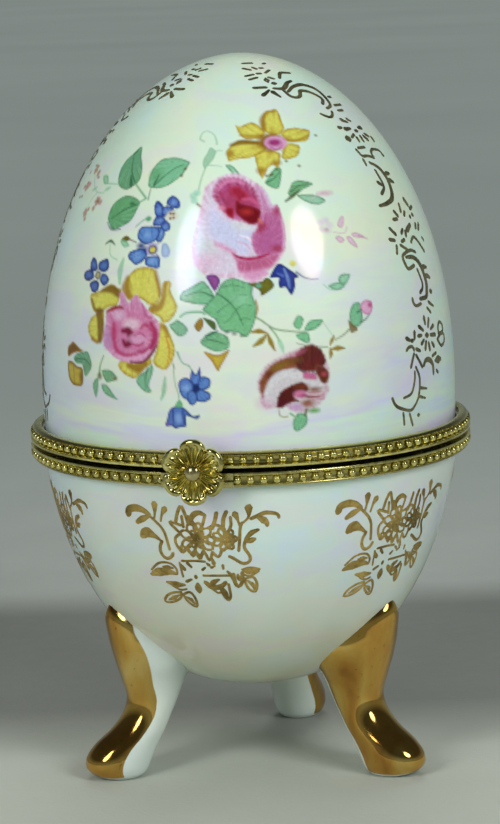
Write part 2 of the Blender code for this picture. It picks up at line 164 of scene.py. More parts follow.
class Painting:
    """Enamel on the lid, worked out at points given by their angles and heights."""

    def __init__(self, angles, heights):
        self.angles = angles
        self.radii = lid_radius(heights)
        self.arcs = np.interp(heights, ARC_HEIGHTS, ARC_LENGTHS)
        self.colour = np.zeros((len(angles), 3))
        self.cover = np.zeros(len(angles))
        self.chance = np.random.default_rng(7)

    def around(self, points, margin):
        """The points near an outline, and both in millimetres across and up the glaze."""
        points = np.array(points, float)
        middle = points[:, 0].mean()
        line = np.stack([
            (points[:, 0] - middle) * DEGREE * lid_radius(points[:, 1]),
            np.interp(points[:, 1], ARC_HEIGHTS, ARC_LENGTHS),
        ], -1)
        low = line.min(0) - margin
        high = line.max(0) + margin
        across = (self.angles - middle) * DEGREE * self.radii
        near = (across > low[0]) & (across < high[0]) & (self.arcs > low[1]) & (self.arcs < high[1])
        chosen = np.flatnonzero(near)
        return chosen, np.stack([across[chosen], self.arcs[chosen]], -1), line

    def lay(self, chosen, amount, colour):
        """Lay enamel over what is there; colour is one colour or one for each point."""
        amount = amount[:, None]
        self.colour[chosen] = self.colour[chosen] * (1 - amount) + amount * colour
        self.cover[chosen] = self.cover[chosen] * (1 - amount[:, 0]) + amount[:, 0]

    def to_line(self, spots, line, widths):
        """How far each spot lies outside a line of changing width."""
        along = np.concatenate([[0], np.cumsum(np.linalg.norm(np.diff(line, axis=0), axis=1))])
        along = along / max(along[-1], 1e-9)
        half = np.interp(along, np.linspace(0, 1, len(widths)), widths) / 2
        best = np.full(len(spots), 1e9)
        for i in range(len(line) - 1):
            step = line[i + 1] - line[i]
            share = np.clip((spots - line[i]) @ step / max(step @ step, 1e-12), 0, 1)
            gap = np.linalg.norm(spots - line[i] - share[:, None] * step, axis=1)
            best = np.minimum(best, gap - half[i] - share * (half[i + 1] - half[i]))
        return best

    def shape(self, points, colour, rim=None, rim_width=0.5, soft=0.13, strength=1.0):
        """A filled outline, with a second colour along its rim where one is given."""
        chosen, spots, line = self.around(points, 1)
        line = curve_through(line, closed=True)
        loop = np.concatenate([line, line[:1]])
        inside = np.zeros(len(spots), bool)
        for start, end in zip(loop, loop[1:]):
            crosses = (start[1] > spots[:, 1]) != (end[1] > spots[:, 1])
            rise = end[1] - start[1] if end[1] != start[1] else 1e-9
            side = start[0] + (spots[:, 1] - start[1]) / rise * (end[0] - start[0])
            inside ^= crosses & (spots[:, 0] < side)
        gap = self.to_line(spots, loop, (0, 0))
        depth = np.where(inside, gap, -gap)
        amount = np.clip((depth + soft) / (2 * soft), 0, 1)
        amount = strength * amount * amount * (3 - 2 * amount)
        paint = seen(colour)
        if rim is not None:
            share = np.clip(1 - depth / rim_width, 0, 1)[:, None] ** 0.8
            paint = paint * (1 - share) + seen(rim) * share
        self.lay(chosen, amount, paint)

    def stroke(self, points, colour, widths=(0.3, 0.3), soft=0.12, strength=1.0):
        """A brush stroke along a line, its widths spread evenly from end to end."""
        chosen, spots, line = self.around(points, max(widths) + 0.5)
        outside = self.to_line(spots, curve_through(line), widths)
        amount = strength * np.clip(0.5 - outside / (2 * soft), 0, 1)
        self.lay(chosen, amount, seen(colour))

    def spot(self, place, size, colour, soft=0.15, turn=0.0, strength=1.0):
        """An oval dab: half width and half height in millimetres, turned in degrees."""
        chosen, spots, line = self.around([place], max(size) + soft)
        offset = spots - line[0]
        cosine, sine = math.cos(turn * DEGREE), math.sin(turn * DEGREE)
        u = offset[:, 0] * cosine + offset[:, 1] * sine
        v = offset[:, 1] * cosine - offset[:, 0] * sine
        outside = (np.hypot(u / size[0], v / size[1]) - 1) * min(size)
        amount = strength * np.clip(0.5 - outside / (2 * soft), 0, 1)
        self.lay(chosen, amount, seen(colour))

    def fan(self, points, toward, colour, count=14, reach=0.5, width=0.16, strength=0.5):
        """Fine strokes from an outline towards one place, as petals are shaded."""
        line = curve_through(points, closed=True)
        for i in range(count):
            start = line[int((i + self.chance.uniform(0, 0.8)) * len(line) / count) % len(line)]
            share = reach * self.chance.uniform(0.5, 1.2)
            end = start + (np.array(toward) - start) * share
            self.stroke([start, end], colour, (width, width * 0.3), strength=strength)

    def leaf(self, points, colour=LEAF, midrib=(), veins=()):
        """A leaf with a darker rim, a midrib and side veins."""
        self.shape(points, colour, rim=MIDRIB, rim_width=0.35, strength=0.92)
        tip = midrib[-1] if midrib else np.mean(points, axis=0)
        self.fan(points, tip, LEAF_PALE, 12, 0.55, 0.2, 0.5)
        self.fan(points, tip, MIDRIB, 9, 0.45, 0.12, 0.45)
        if midrib:
            self.stroke(midrib, LEAF_DARK, (0.26, 0.14), strength=0.8)
        for vein in veins:
            self.stroke(vein, LEAF_DARK, (0.2, 0.12), strength=0.6)


def paint_upper_left_leaves(art):
    """Three broad leaves left of the big rose, with their stems."""
    art.stroke([(-29, 43), (-25, 41.7), (-20.5, 40.2)], LEAF, (0.3, 0.35), strength=0.8)
    art.stroke([(-35.5, 42), (-38, 42), (-41, 42)], LEAF_PALE, (0.25, 0.3), strength=0.7)
    art.shape([(-41, 42), (-43, 43.1), (-46, 43), (-43.5, 41.9)], LEAF_PALE, rim=LEAF, strength=0.8)
    art.leaf([
        (-30, 41.3), (-33.5, 41.6), (-35.7, 42.4), (-36.9, 44), (-36, 45.5), (-34, 46.3),
        (-30.8, 47.6), (-28.5, 46.1), (-26.5, 45), (-25.3, 43.6), (-25.6, 42.5), (-27.5, 41.8),
    ], (84, 152, 108), [(-27, 42.4), (-30.5, 44), (-32.5, 46)])
    art.stroke([(-30, 43.3), (-28.5, 42)], LEAF_DARK, (0.3, 0.7), strength=0.8)
    art.stroke([(-31.5, 47), (-33, 46.4)], LEAF_DARK, (0.2, 0.3), strength=0.7)
    second = [
        (-20.3, 41.8), (-21.3, 43), (-21, 44.3), (-19.5, 45.3), (-17.5, 45.9), (-12, 46.1),
        (-6.5, 45.5), (-6.8, 44.8), (-8, 43.8), (-10.5, 42.8), (-13, 42.1), (-16, 41.7),
    ]
    art.leaf(second, (108, 180, 138), [(-18.5, 42), (-15, 43.5), (-11.5, 44.6), (-8.5, 45.1)])
    art.spot((-18.8, 43.6), (1.1, 1.0), (84, 152, 98), soft=0.5, strength=0.6)
    art.stroke([(-18.5, 42.2), (-17.5, 43.5)], LEAF_DARK, (0.4, 0.2), strength=0.8)
    for place in ((-7.5, 44.5), (-8.5, 43.5)):
        art.spot(place, (0.22, 0.2), OLIVE)
    art.stroke([(-22.5, 39.6), (-20.5, 40.1)], LEAF, (0.3, 0.3), strength=0.8)
    art.stroke([(-19.5, 41.5), (-19.5, 40)], LEAF_DARK, (0.2, 0.25), strength=0.7)
    art.leaf([
        (-29.5, 40.4), (-33.5, 39.4), (-34.8, 38.2), (-34.8, 37), (-33.5, 36.2), (-31, 35.4),
        (-26, 36.3), (-24, 37.2), (-23, 38.5), (-22.5, 39.5), (-25, 40.2),
    ], (80, 154, 96), [(-23.5, 39.2), (-28, 38.4), (-33, 37)])
    art.spot((-25.5, 39.3), (0.5, 0.25), LEAF_DARK, strength=0.8)
    art.stroke([(-34.6, 36.4), (-32, 35.4), (-28, 35.5)], LEAF_DARK, (0.15, 0.3, 0.2), strength=0.8)


def paint_berries(art):
    """Dusty pink berries and specks at the far left."""
    dusty = (172, 126, 122)
    for place, size in (
        ((-54.5, 43.8), 0.85), ((-51, 43.3), 0.6), ((-56, 41.2), 0.9), ((-54, 41.5), 0.4),
        ((-43.5, 39.3), 0.8), ((-41.5, 39.2), 0.45), ((-44.5, 38.2), 0.45), ((-49, 37.4), 0.75),
        ((-48, 36.5), 0.4), ((-47.5, 38), 0.35), ((-58.5, 41), 0.4), ((-59.5, 43.2), 0.35),
    ):
        for i in range(5):
            angle = math.tau * i / 5 + size
            petal = (place[0] + size * math.cos(angle) * 1.2, place[1] + size * math.sin(angle) * 0.6)
            art.spot(petal, (size * 0.42, size * 0.36), dusty, soft=0.14, strength=0.85)
        art.spot(place, (size * 0.3, size * 0.3), (176, 140, 60), soft=0.14)
    for place in ((-49.5, 42.7), (-56.5, 44.3), (-57, 39.6), (-59, 39.4), (-43.3, 39.3)):
        art.spot(place, (0.4, 0.22), (120, 96, 50), strength=0.8)
    for place in ((-48.5, 41), (-40, 41.2)):
        art.spot(place, (0.7, 0.3), LEAF_PALE, turn=25, strength=0.8)
    art.stroke([(-53.5, 43), (-50, 41.6), (-46, 40.6), (-41.5, 40.6)], LEAF_PALE, (0.18, 0.22),
               strength=0.7)
    art.stroke([(-49, 38), (-47.5, 39.6), (-45.5, 40.5)], LEAF_PALE, (0.15, 0.2), strength=0.7)


def paint_tendril(art):
    """The pale green tendril and small leaves above the big rose."""
    pale = (140, 188, 158)
    art.stroke([
        (-1.8, 48.4), (-3.8, 48.8), (-3.2, 49.6), (-1.5, 49.9), (0.5, 49.7), (2.3, 49.2), (3.3, 48.5),
        (3.6, 48),
    ], pale, (0.3, 0.22, 0.18, 0.3), strength=0.75)
    art.shape([
        (1, 47.5), (2.5, 47.3), (3.5, 46.9), (2.8, 45.9), (1, 45), (0, 44.5), (-1, 45), (-1, 45.9),
        (0, 46.6),
    ], (118, 176, 140), rim=LEAF, rim_width=0.3, strength=0.7)
    art.stroke([(3, 46.8), (4.5, 47.1), (6, 47)], pale, (0.25, 0.15), strength=0.7)
    art.stroke([(1, 45), (4, 44.9), (6, 44.8)], pale, (0.25, 0.15), strength=0.7)
    art.stroke([(0, 44.5), (-1, 43), (-1.5, 41.5)], LEAF, (0.22, 0.22), strength=0.6)
    art.leaf([(7.5, 44.9), (9.5, 44.9), (11.5, 44.2), (12.3, 43.4), (10.5, 43.5), (9, 44.2)], LEAF_PALE)
    for place in ((-3.2, 40.6), (-2, 41), (-2.6, 39.9)):
        art.spot(place, (0.55, 0.5), (148, 202, 178), soft=0.2, strength=0.8)
    art.stroke([(-1.5, 39.4), (-0.2, 39)], (110, 100, 50), (0.4, 0.3), strength=0.8)


def paint_petals(art, centre, petals, colour, rim, light):
    """A little blue flower: petals round a centre, each with a light patch and dark veins."""
    for petal in petals:
        middle = np.mean(petal, axis=0)
        art.shape(petal, colour, rim=rim, rim_width=0.42, soft=0.12)
        art.spot(tuple(middle), (0.5, 0.4), light, soft=0.35, strength=0.55)
        art.fan(petal, centre, rim, 7, 0.45, 0.13, 0.7)


def paint_blue_flowers(art):
    """Forget-me-nots between the leaves and the big rose."""
    paint_petals(art, (-10.6, 37.9), (
        [(-16.5, 39.4), (-15.2, 39.8), (-13.4, 39.1), (-12.5, 37.9), (-13.7, 37.2), (-15.8, 37.9)],
        [(-12, 40.1), (-10.3, 40.6), (-8, 40), (-7.3, 39), (-9.3, 38.8), (-12, 39.4)],
        [(-13.6, 38.8), (-11.5, 39.1), (-9.3, 38.7), (-11.1, 37.9), (-12.8, 37.6)],
        [(-15.2, 37.5), (-12.7, 37.5), (-11.4, 36.8), (-13.3, 36.2), (-15.8, 36.3)],
        [(-12.7, 36.5), (-10.7, 36.8), (-9.7, 35.8), (-11.6, 35.3), (-13.1, 35.7)],
    ), (72, 106, 176), NAVY, SKY)
    art.spot((-9.6, 37.7), (0.95, 0.75), (205, 204, 190), soft=0.25)
    for place in ((-10.2, 38), (-9.2, 38), (-9, 37.4), (-10.1, 37.3)):
        art.spot(place, (0.22, 0.2), (120, 96, 40), soft=0.1)
    art.shape([(-11.8, 33.4), (-10.5, 33.7), (-9, 32.7), (-9.4, 31.7), (-11.4, 31.8)], SKY, rim=BLUE,
              strength=0.7)
    paint_petals(art, (-14.9, 32.8), (
        [(-14.2, 35.9), (-12.1, 35.9), (-11.2, 35), (-12.2, 33.9), (-14, 34.1)],
        [
            (-20.5, 34.3), (-20.8, 35.2), (-19.7, 36), (-16.8, 36.1), (-14.3, 36), (-12.9, 35.2),
            (-14, 34.1),
            (-16.5, 33.5), (-18.4, 33.6),
        ],
        [
            (-23, 31.5), (-22.6, 32.2), (-20.2, 32.7), (-17.4, 32.8), (-16.4, 31.9), (-17.5, 31),
            (-19.8, 30.4),
            (-21.7, 30.9),
        ],
        [
            (-16.6, 31.5), (-14.7, 31.8), (-12.3, 31.7), (-11.8, 30.8), (-12.3, 30), (-16, 30.3),
            (-16.8, 30.9),
        ],
    ), (92, 134, 196), NAVY, (142, 178, 220))
    art.spot((-18.9, 33.2), (0.7, 0.5), NAVY, soft=0.3, strength=0.9)
    art.spot((-17, 32.6), (0.6, 0.5), NAVY, soft=0.3, strength=0.9)
    art.spot((-14.9, 32.8), (1.0, 0.95), (164, 156, 206), soft=0.2)
    art.spot((-14.7, 32.7), (0.72, 0.66), (40, 44, 60), soft=0.15)
    art.spot((-14.7, 32.7), (0.5, 0.44), (200, 192, 92), soft=0.12)
    paint_petals(art, (-33.9, 28.5), (
        [(-38.1, 30.3), (-37.1, 31.1), (-35.3, 30.4), (-34.7, 29.2), (-37.4, 29.1)],
        [(-34.3, 30.3), (-32.8, 30.8), (-30.7, 31), (-29.8, 29.8), (-31.1, 29.1), (-33.8, 29.3)],
        [(-40.4, 28.3), (-39.8, 28.9), (-37, 29.2), (-35.5, 28.2), (-37.5, 27.5), (-39.6, 27.7)],
        [(-32.2, 28.7), (-30.1, 28.6), (-29, 27.8), (-30.7, 27), (-32.6, 27.7)],
        [(-36.9, 27.2), (-34.4, 27.7), (-32.8, 27.1), (-33.3, 26.1), (-35, 25.9), (-36.1, 26.3)],
    ), (62, 92, 158), (22, 34, 100), (108, 138, 196))
    art.spot((-33.9, 28.5), (0.62, 0.6), (30, 38, 80), soft=0.15)
    art.spot((-33.9, 28.5), (0.42, 0.42), (170, 166, 110), soft=0.12)
    art.shape([
        (20.3, 28.5), (22, 30), (23.5, 30.4), (26, 29.5), (28.5, 28.4), (27.3, 28), (27.3, 27), (26, 25.7),
        (24.5, 26.9), (23, 26.8), (22.6, 27.5), (22.8, 28.3), (21.5, 28.4),
    ], (40, 58, 140), rim=(24, 34, 105), rim_width=0.5)
    art.stroke([(24.5, 29.6), (25.3, 28.2), (25.6, 26.8)], SKY, (0.3, 0.5, 0.2), strength=0.55)
    art.stroke([(22.4, 29), (24, 28.6)], (92, 120, 190), (0.2, 0.4), strength=0.6)
    art.stroke([(28, 29), (30, 28.2), (32.5, 27.8), (34, 27.8)], (60, 80, 140), (0.35, 0.2, 0.14),
               strength=0.8)
    art.spot((27.2, 30.3), (0.5, 0.45), YELLOW)


def paint_bells(art):
    """Two bluebells hanging at the bottom of the bouquet."""
    art.stroke([(-2.3, 15.6), (-1.6, 15), (-0.9, 14.4)], LEAF, (0.2, 0.25), strength=0.8)
    for petal in (
        [(-5.3, 13), (-4.7, 11.2), (-3, 10.5), (-0.9, 11.6), (-1.4, 13.2), (-3.5, 13.8)],
        [(-0.6, 13.6), (1.5, 14), (3.3, 13.6), (3.3, 12.6), (2, 12), (-0.2, 12)],
        [(-0.6, 12.1), (1.5, 12), (3.4, 11.3), (3, 10.5), (1.2, 10.1), (-0.6, 10.5)],
        [(-2.9, 11.6), (-1, 11.9), (-0.1, 10.6), (-1.5, 9.6), (-2.9, 10.3)],
        [(-1.6, 14.9), (-0.5, 14.3), (0.6, 15.3), (0.8, 13.6), (-0.5, 12.4), (-2, 13.4)],
    ):
        art.shape(petal, (86, 124, 190), rim=NAVY, rim_width=0.4)
        art.fan(petal, (-0.5, 12), NAVY, 5, 0.6, 0.14, 0.6)
    art.spot((-3.2, 12.2), (0.6, 0.5), SKY, soft=0.3, strength=0.8)
    art.spot((-0.5, 12.2), (0.6, 0.7), (26, 36, 100))
    art.shape([
        (-8.7, 7.5), (-8, 8.8), (-6.5, 9.4), (-4.5, 9.4), (-3, 8.8), (-1.5, 8), (0.3, 8.2), (-0.5, 7.5),
        (-3.2, 8), (-3.4, 7.4), (-3.5, 6.4), (-5.3, 6.2), (-6.5, 6), (-7.5, 6.4), (-9.2, 6.4),
    ], (80, 115, 182), rim=NAVY, rim_width=0.45)
    art.spot((-5.5, 7.6), (0.5, 0.7), SKY, soft=0.3, strength=0.8)
    for line in ([(-7, 8.8), (-7.1, 6.7)], [(-4.3, 8.8), (-4.1, 6.8)]):
        art.stroke(line, NAVY, (0.3, 0.15), strength=0.85)
    art.spot((-8.6, 6.7), (0.3, 0.25), (110, 80, 160))
    art.shape([(-6.4, 9.5), (-5.2, 10.4), (-4.2, 9.8), (-4.4, 9.3), (-5.6, 9.2)], LEAF, strength=0.9)
    art.stroke([(-5.1, 10.2), (-5.4, 11.4), (-6.2, 12.8), (-6.6, 15)], LEAF, (0.22, 0.18), strength=0.7)


def paint_small_sprigs(art):
    """Stems, buds and leaves round the small rose."""
    art.spot((-17.8, 37.2), (0.5, 0.4), LEAF)
    art.shape([(-26.7, 34), (-25.1, 34.6), (-23.4, 34.2), (-24.8, 33.7)], (96, 92, 22), rim=BROWN,
              rim_width=0.3)
    art.stroke([(-23.6, 34.1), (-20.9, 33.7)], (110, 80, 60), (0.25, 0.2), strength=0.9)
    art.shape([(-27, 33.8), (-25.4, 34), (-23.2, 33.2), (-25.2, 32.9)], LEAF_PALE, rim=LEAF, strength=0.8)
    art.stroke([(-33, 33.2), (-31, 33.7), (-29, 33.2)], LEAF_DARK, (0.2, 0.5, 0.2), strength=0.9)
    art.stroke([(-31, 33.2), (-30, 31.6), (-27, 31)], LEAF_PALE, (0.2, 0.25), strength=0.7)
    art.stroke([(-24.6, 31.2), (-25.2, 29.4), (-24.8, 27.6)], (128, 186, 148), (0.4, 1.1, 0.5),
               strength=0.75)
    art.stroke([(-22, 36), (-19.5, 37), (-17.8, 37.2)], LEAF, (0.2, 0.25), strength=0.8)
    art.leaf([
        (-17.5, 12.8), (-17, 13.8), (-14.8, 14.6), (-13, 15.6), (-12.5, 14.8), (-13.8, 12.5), (-13, 11.6),
        (-14.5, 11.4), (-16, 11.9),
    ], (105, 172, 132), [(-14.2, 15), (-14.8, 13.6), (-14.7, 12)])
    art.stroke([(-9, 13.8), (-9.5, 11.5), (-10.3, 10.4)], (128, 186, 148), (0.3, 0.8, 0.3), strength=0.85)
    art.stroke([(-5.5, 17.6), (-5, 16.9), (-4, 16), (-2.3, 15.6)], LEAF, (0.35, 0.2, 0.2), strength=0.85)
    art.stroke([(-6.8, 15.9), (-6.4, 15.2)], LEAF_DARK, (0.2, 0.2), strength=0.8)
    art.stroke([(-28.8, 16.5), (-30, 15), (-30.3, 13.5)], (96, 140, 92), (0.2, 0.25, 0.4), strength=0.9)
    art.leaf([(-29.3, 14.2), (-26, 14.3), (-24, 13.2), (-26.5, 12.6), (-28, 12.7)], (96, 156, 112))
    art.spot((-24.6, 13.2), (0.4, 0.3), BROWN, soft=0.25, strength=0.7)
    art.leaf([(-29.5, 12), (-27.5, 12), (-25, 10.6), (-24, 10), (-27, 10.4), (-28.8, 11)], (104, 168, 124))
    art.leaf([(-32.5, 12.3), (-30.8, 13), (-31, 11), (-31.8, 10), (-32.8, 11.5)], (100, 162, 118))
    art.spot((-30.2, 13.3), (0.5, 0.5), (90, 92, 40), soft=0.25, strength=0.8)


def paint_far_left_flower(art):
    """The yellow bud in its green calyx at the lower left."""
    art.shape([
        (-44.5, 14.8), (-42, 14.9), (-40, 14.4), (-37.5, 14.2), (-37, 13), (-37.5, 11.5), (-41, 11.3),
        (-43, 11.8), (-44.2, 12.8),
    ], (182, 166, 64), rim=BROWN, rim_width=0.6)
    art.stroke([(-41.5, 14.2), (-41, 11.6)], (140, 112, 26), (0.3, 0.2), strength=0.7)
    art.spot((-37.9, 12.8), (0.5, 0.9), BROWN, soft=0.3, strength=0.8)
    art.leaf([
        (-41.5, 15.5), (-40, 16.3), (-37, 16.7), (-35, 16.7), (-33.4, 14.7), (-36, 13), (-37.5, 14.8),
        (-40, 14.8),
    ], (88, 148, 106), [(-40.5, 15.5), (-36.5, 15.6), (-34, 14.8)])
    art.shape([
        (-44.8, 17), (-43.5, 17.6), (-42, 18), (-38.5, 17.1), (-37, 16.8), (-40, 16.5), (-42, 16.2),
        (-44.5, 15.6),
    ], BROWN, rim=(150, 116, 34), rim_width=0.4)


def paint_small_rose(art):
    """The pink rose cupped in yellow and ochre petals."""
    petals = (
        ([(-22.8, 27.5), (-22, 28.6), (-20.5, 29.5), (-18.5, 30), (-15.5, 30.1), (-13.5, 29.8),
          (-12.5, 28.8),
          (-10.8, 26.3), (-12, 24.8), (-14, 24.6), (-17.5, 25.5), (-21.5, 25.4)], (-16.5, 24)),
        ([(-36, 25.2), (-34.5, 25.8), (-32, 26.2), (-28, 27.3), (-25.5, 26.8), (-24, 26.5), (-25, 24.3),
          (-27.5, 24), (-31.5, 23), (-34, 23.2)], (-25, 24.5)),
        ([(-35.6, 20.7), (-34.2, 22.2), (-31, 23), (-29.5, 23), (-29.5, 21), (-29, 19.5), (-31.5, 18.3),
          (-34.5, 19.2)], (-28.5, 21)),
        ([(-10.3, 27.8), (-9, 28.2), (-7.8, 27.8), (-8, 26.8), (-5.8, 24.5), (-6.5, 23.2), (-8, 22.2),
          (-9.8, 22), (-11, 22.8), (-14.5, 23.8), (-11.5, 25), (-10.5, 26)], (-13.5, 22)),
        ([(-11, 21.3), (-10, 21.9), (-8.6, 21.2), (-6.5, 18.8), (-6.3, 17.5), (-7, 16.3), (-8.3, 15.2),
          (-10, 15), (-12.5, 16), (-11.5, 18)], (-13, 19.5)),
        ([(-23.5, 15.2), (-22.5, 16), (-20, 16.3), (-14, 16.7), (-13, 15.8), (-15, 15), (-17.5, 13.6),
          (-19.3, 13.5), (-22, 14.2)], (-18, 18)),
    )
    for outline, heart in petals:
        art.shape(outline, YELLOW, rim=(168, 140, 34), rim_width=0.55)
        art.fan(outline, heart, OCHRE, 12, 0.35, 0.2, 0.45)
        art.fan(outline, heart, (214, 212, 120), 10, 0.7, 0.3, 0.35)
    art.stroke([(-22.2, 28.4), (-22.4, 26.8), (-20.8, 25.7)], OCHRE, (0.7, 1.7, 1.1), soft=0.3,
               strength=0.85)
    art.stroke([(-13, 29.6), (-11.7, 27.6), (-11, 26)], OCHRE, (0.5, 0.7, 0.5), soft=0.25, strength=0.75)
    art.stroke([(-31, 26.3), (-27.5, 26.6), (-25, 26)], BROWN, (0.5, 1.3, 1.2), soft=0.25, strength=0.9)
    art.stroke([(-35, 24.8), (-33, 23.3), (-30, 23.3)], BROWN, (0.4, 0.5, 0.5), soft=0.2, strength=0.8)
    art.stroke([(-31.5, 23), (-30.5, 21), (-30.5, 18.8)], BROWN, (1.4, 1.5, 1.0), soft=0.25, strength=0.9)
    art.stroke([(-33.5, 18.9), (-31.5, 18.5)], OCHRE, (0.6, 0.6), soft=0.2, strength=0.8)
    art.stroke([(-13, 24), (-11, 24.3), (-9.8, 25.8), (-9.5, 27.8)], OCHRE, (1.2, 0.9, 0.5, 0.5), soft=0.25,
               strength=0.85)
    art.stroke([(-10.8, 21.5), (-9.3, 21.2), (-8.2, 20)], OCHRE, (0.5, 0.8, 0.4), soft=0.25, strength=0.8)
    art.stroke([(-9, 20), (-7.9, 18.5), (-7.8, 17), (-8.5, 15.8)], (196, 120, 30), (0.2, 0.4, 0.3, 0.2),
               strength=0.8)
    art.stroke([(-20, 15.4), (-17, 15), (-14.5, 15.8)], (140, 104, 16), (1.0, 1.5, 0.6), soft=0.3,
               strength=0.9)
    body = [
        (-29, 18.5), (-29, 20), (-28.6, 21.5), (-28.5, 23.3), (-25.5, 24), (-24.3, 24.3), (-23.5, 26.3),
        (-21.5, 24.9), (-20.5, 24.9), (-18.7, 26), (-16.5, 24.8), (-14.8, 23.9), (-12.3, 22.7),
        (-10.8, 21.5),
        (-11, 19), (-12.5, 17.3), (-14.5, 16.3), (-17, 15.8), (-20, 15.8), (-24.5, 16.3), (-28, 17.7),
    ]
    art.shape(body, (196, 118, 160), rim=(206, 150, 188), rim_width=0.9)
    art.fan(body, (-19, 20), (216, 176, 205), 34, 0.4, 0.3, 0.5)
    art.fan(body, (-19, 20), (160, 62, 112), 30, 0.45, 0.16, 0.45)
    art.spot((-27.4, 19.4), (0.9, 1.6), (176, 134, 180), soft=0.6, strength=0.7)
    art.spot((-25.4, 20.4), (0.7, 1.0), (186, 70, 112), soft=0.4, strength=0.8)
    art.spot((-23.8, 22.8), (1.1, 0.7), (212, 178, 204), soft=0.4, strength=0.8)
    art.spot((-19.6, 21.6), (1.5, 0.8), (218, 190, 208), soft=0.4, strength=0.9)
    art.stroke([(-28.5, 23.2), (-26, 23.8), (-24, 24), (-22.8, 23.9)], (150, 44, 60), (0.4, 0.7, 0.6, 0.4),
               soft=0.2)
    art.stroke([(-24.2, 26), (-22.6, 24.6), (-21.6, 23.4)], (190, 130, 170), (0.5, 0.8, 0.3), strength=0.7)
    art.stroke([(-18.6, 25.7), (-18.2, 24.3), (-17.6, 23.2)], (190, 128, 168), (0.5, 0.9, 0.4),
               strength=0.7)
    art.stroke([(-16.4, 24.6), (-15, 23), (-13.4, 22.6)], (172, 84, 130), (0.3, 0.5, 0.4), strength=0.8)
    art.stroke([(-25.6, 21.4), (-25.2, 19), (-24, 17.5), (-21, 16.9), (-18, 17.1)], (176, 54, 104),
               (0.5, 0.8, 0.7, 0.5, 0.4), soft=0.25, strength=0.9)
    art.stroke([(-13.4, 21.9), (-12, 20.2), (-12.8, 18.5), (-15, 17.6), (-17, 17.5)], (158, 30, 88),
               (0.6, 1.1, 1.1, 0.7, 0.4), soft=0.25, strength=0.95)
    art.stroke([(-13.2, 20.9), (-15.2, 21.6), (-16.6, 21)], (170, 52, 104), (0.6, 0.6, 0.3), soft=0.2,
               strength=0.85)
    art.stroke([(-22.4, 20.5), (-20.4, 20.5), (-19.4, 19.2), (-21, 18.4), (-22, 19)], (122, 18, 58),
               (0.7, 1.2, 1.2, 1.0, 0.6), soft=0.25)
    art.spot((-17.4, 19.4), (1.5, 0.75), (206, 150, 186), soft=0.3)
    art.stroke([(-19, 18.6), (-17.2, 18.4), (-15.4, 18.9)], (170, 60, 112), (0.25, 0.4, 0.3), strength=0.9)
    art.stroke([(-18.6, 19.8), (-16.6, 20.3), (-15, 19.8)], (176, 80, 130), (0.2, 0.35, 0.2), strength=0.9)
    art.stroke([(-24.5, 16.8), (-21, 16.3), (-16, 16.8), (-13.6, 17.8)], (214, 160, 196), (0.4, 0.5, 0.6,
                                                                                           0.4),
               strength=0.8)
    art.stroke([(-19.5, 15.9), (-16, 15.9), (-13.5, 16.9), (-11.4, 18.6)], (104, 26, 40), (0.25, 0.45, 0.5,
                                                                                           0.3),
               strength=0.9)


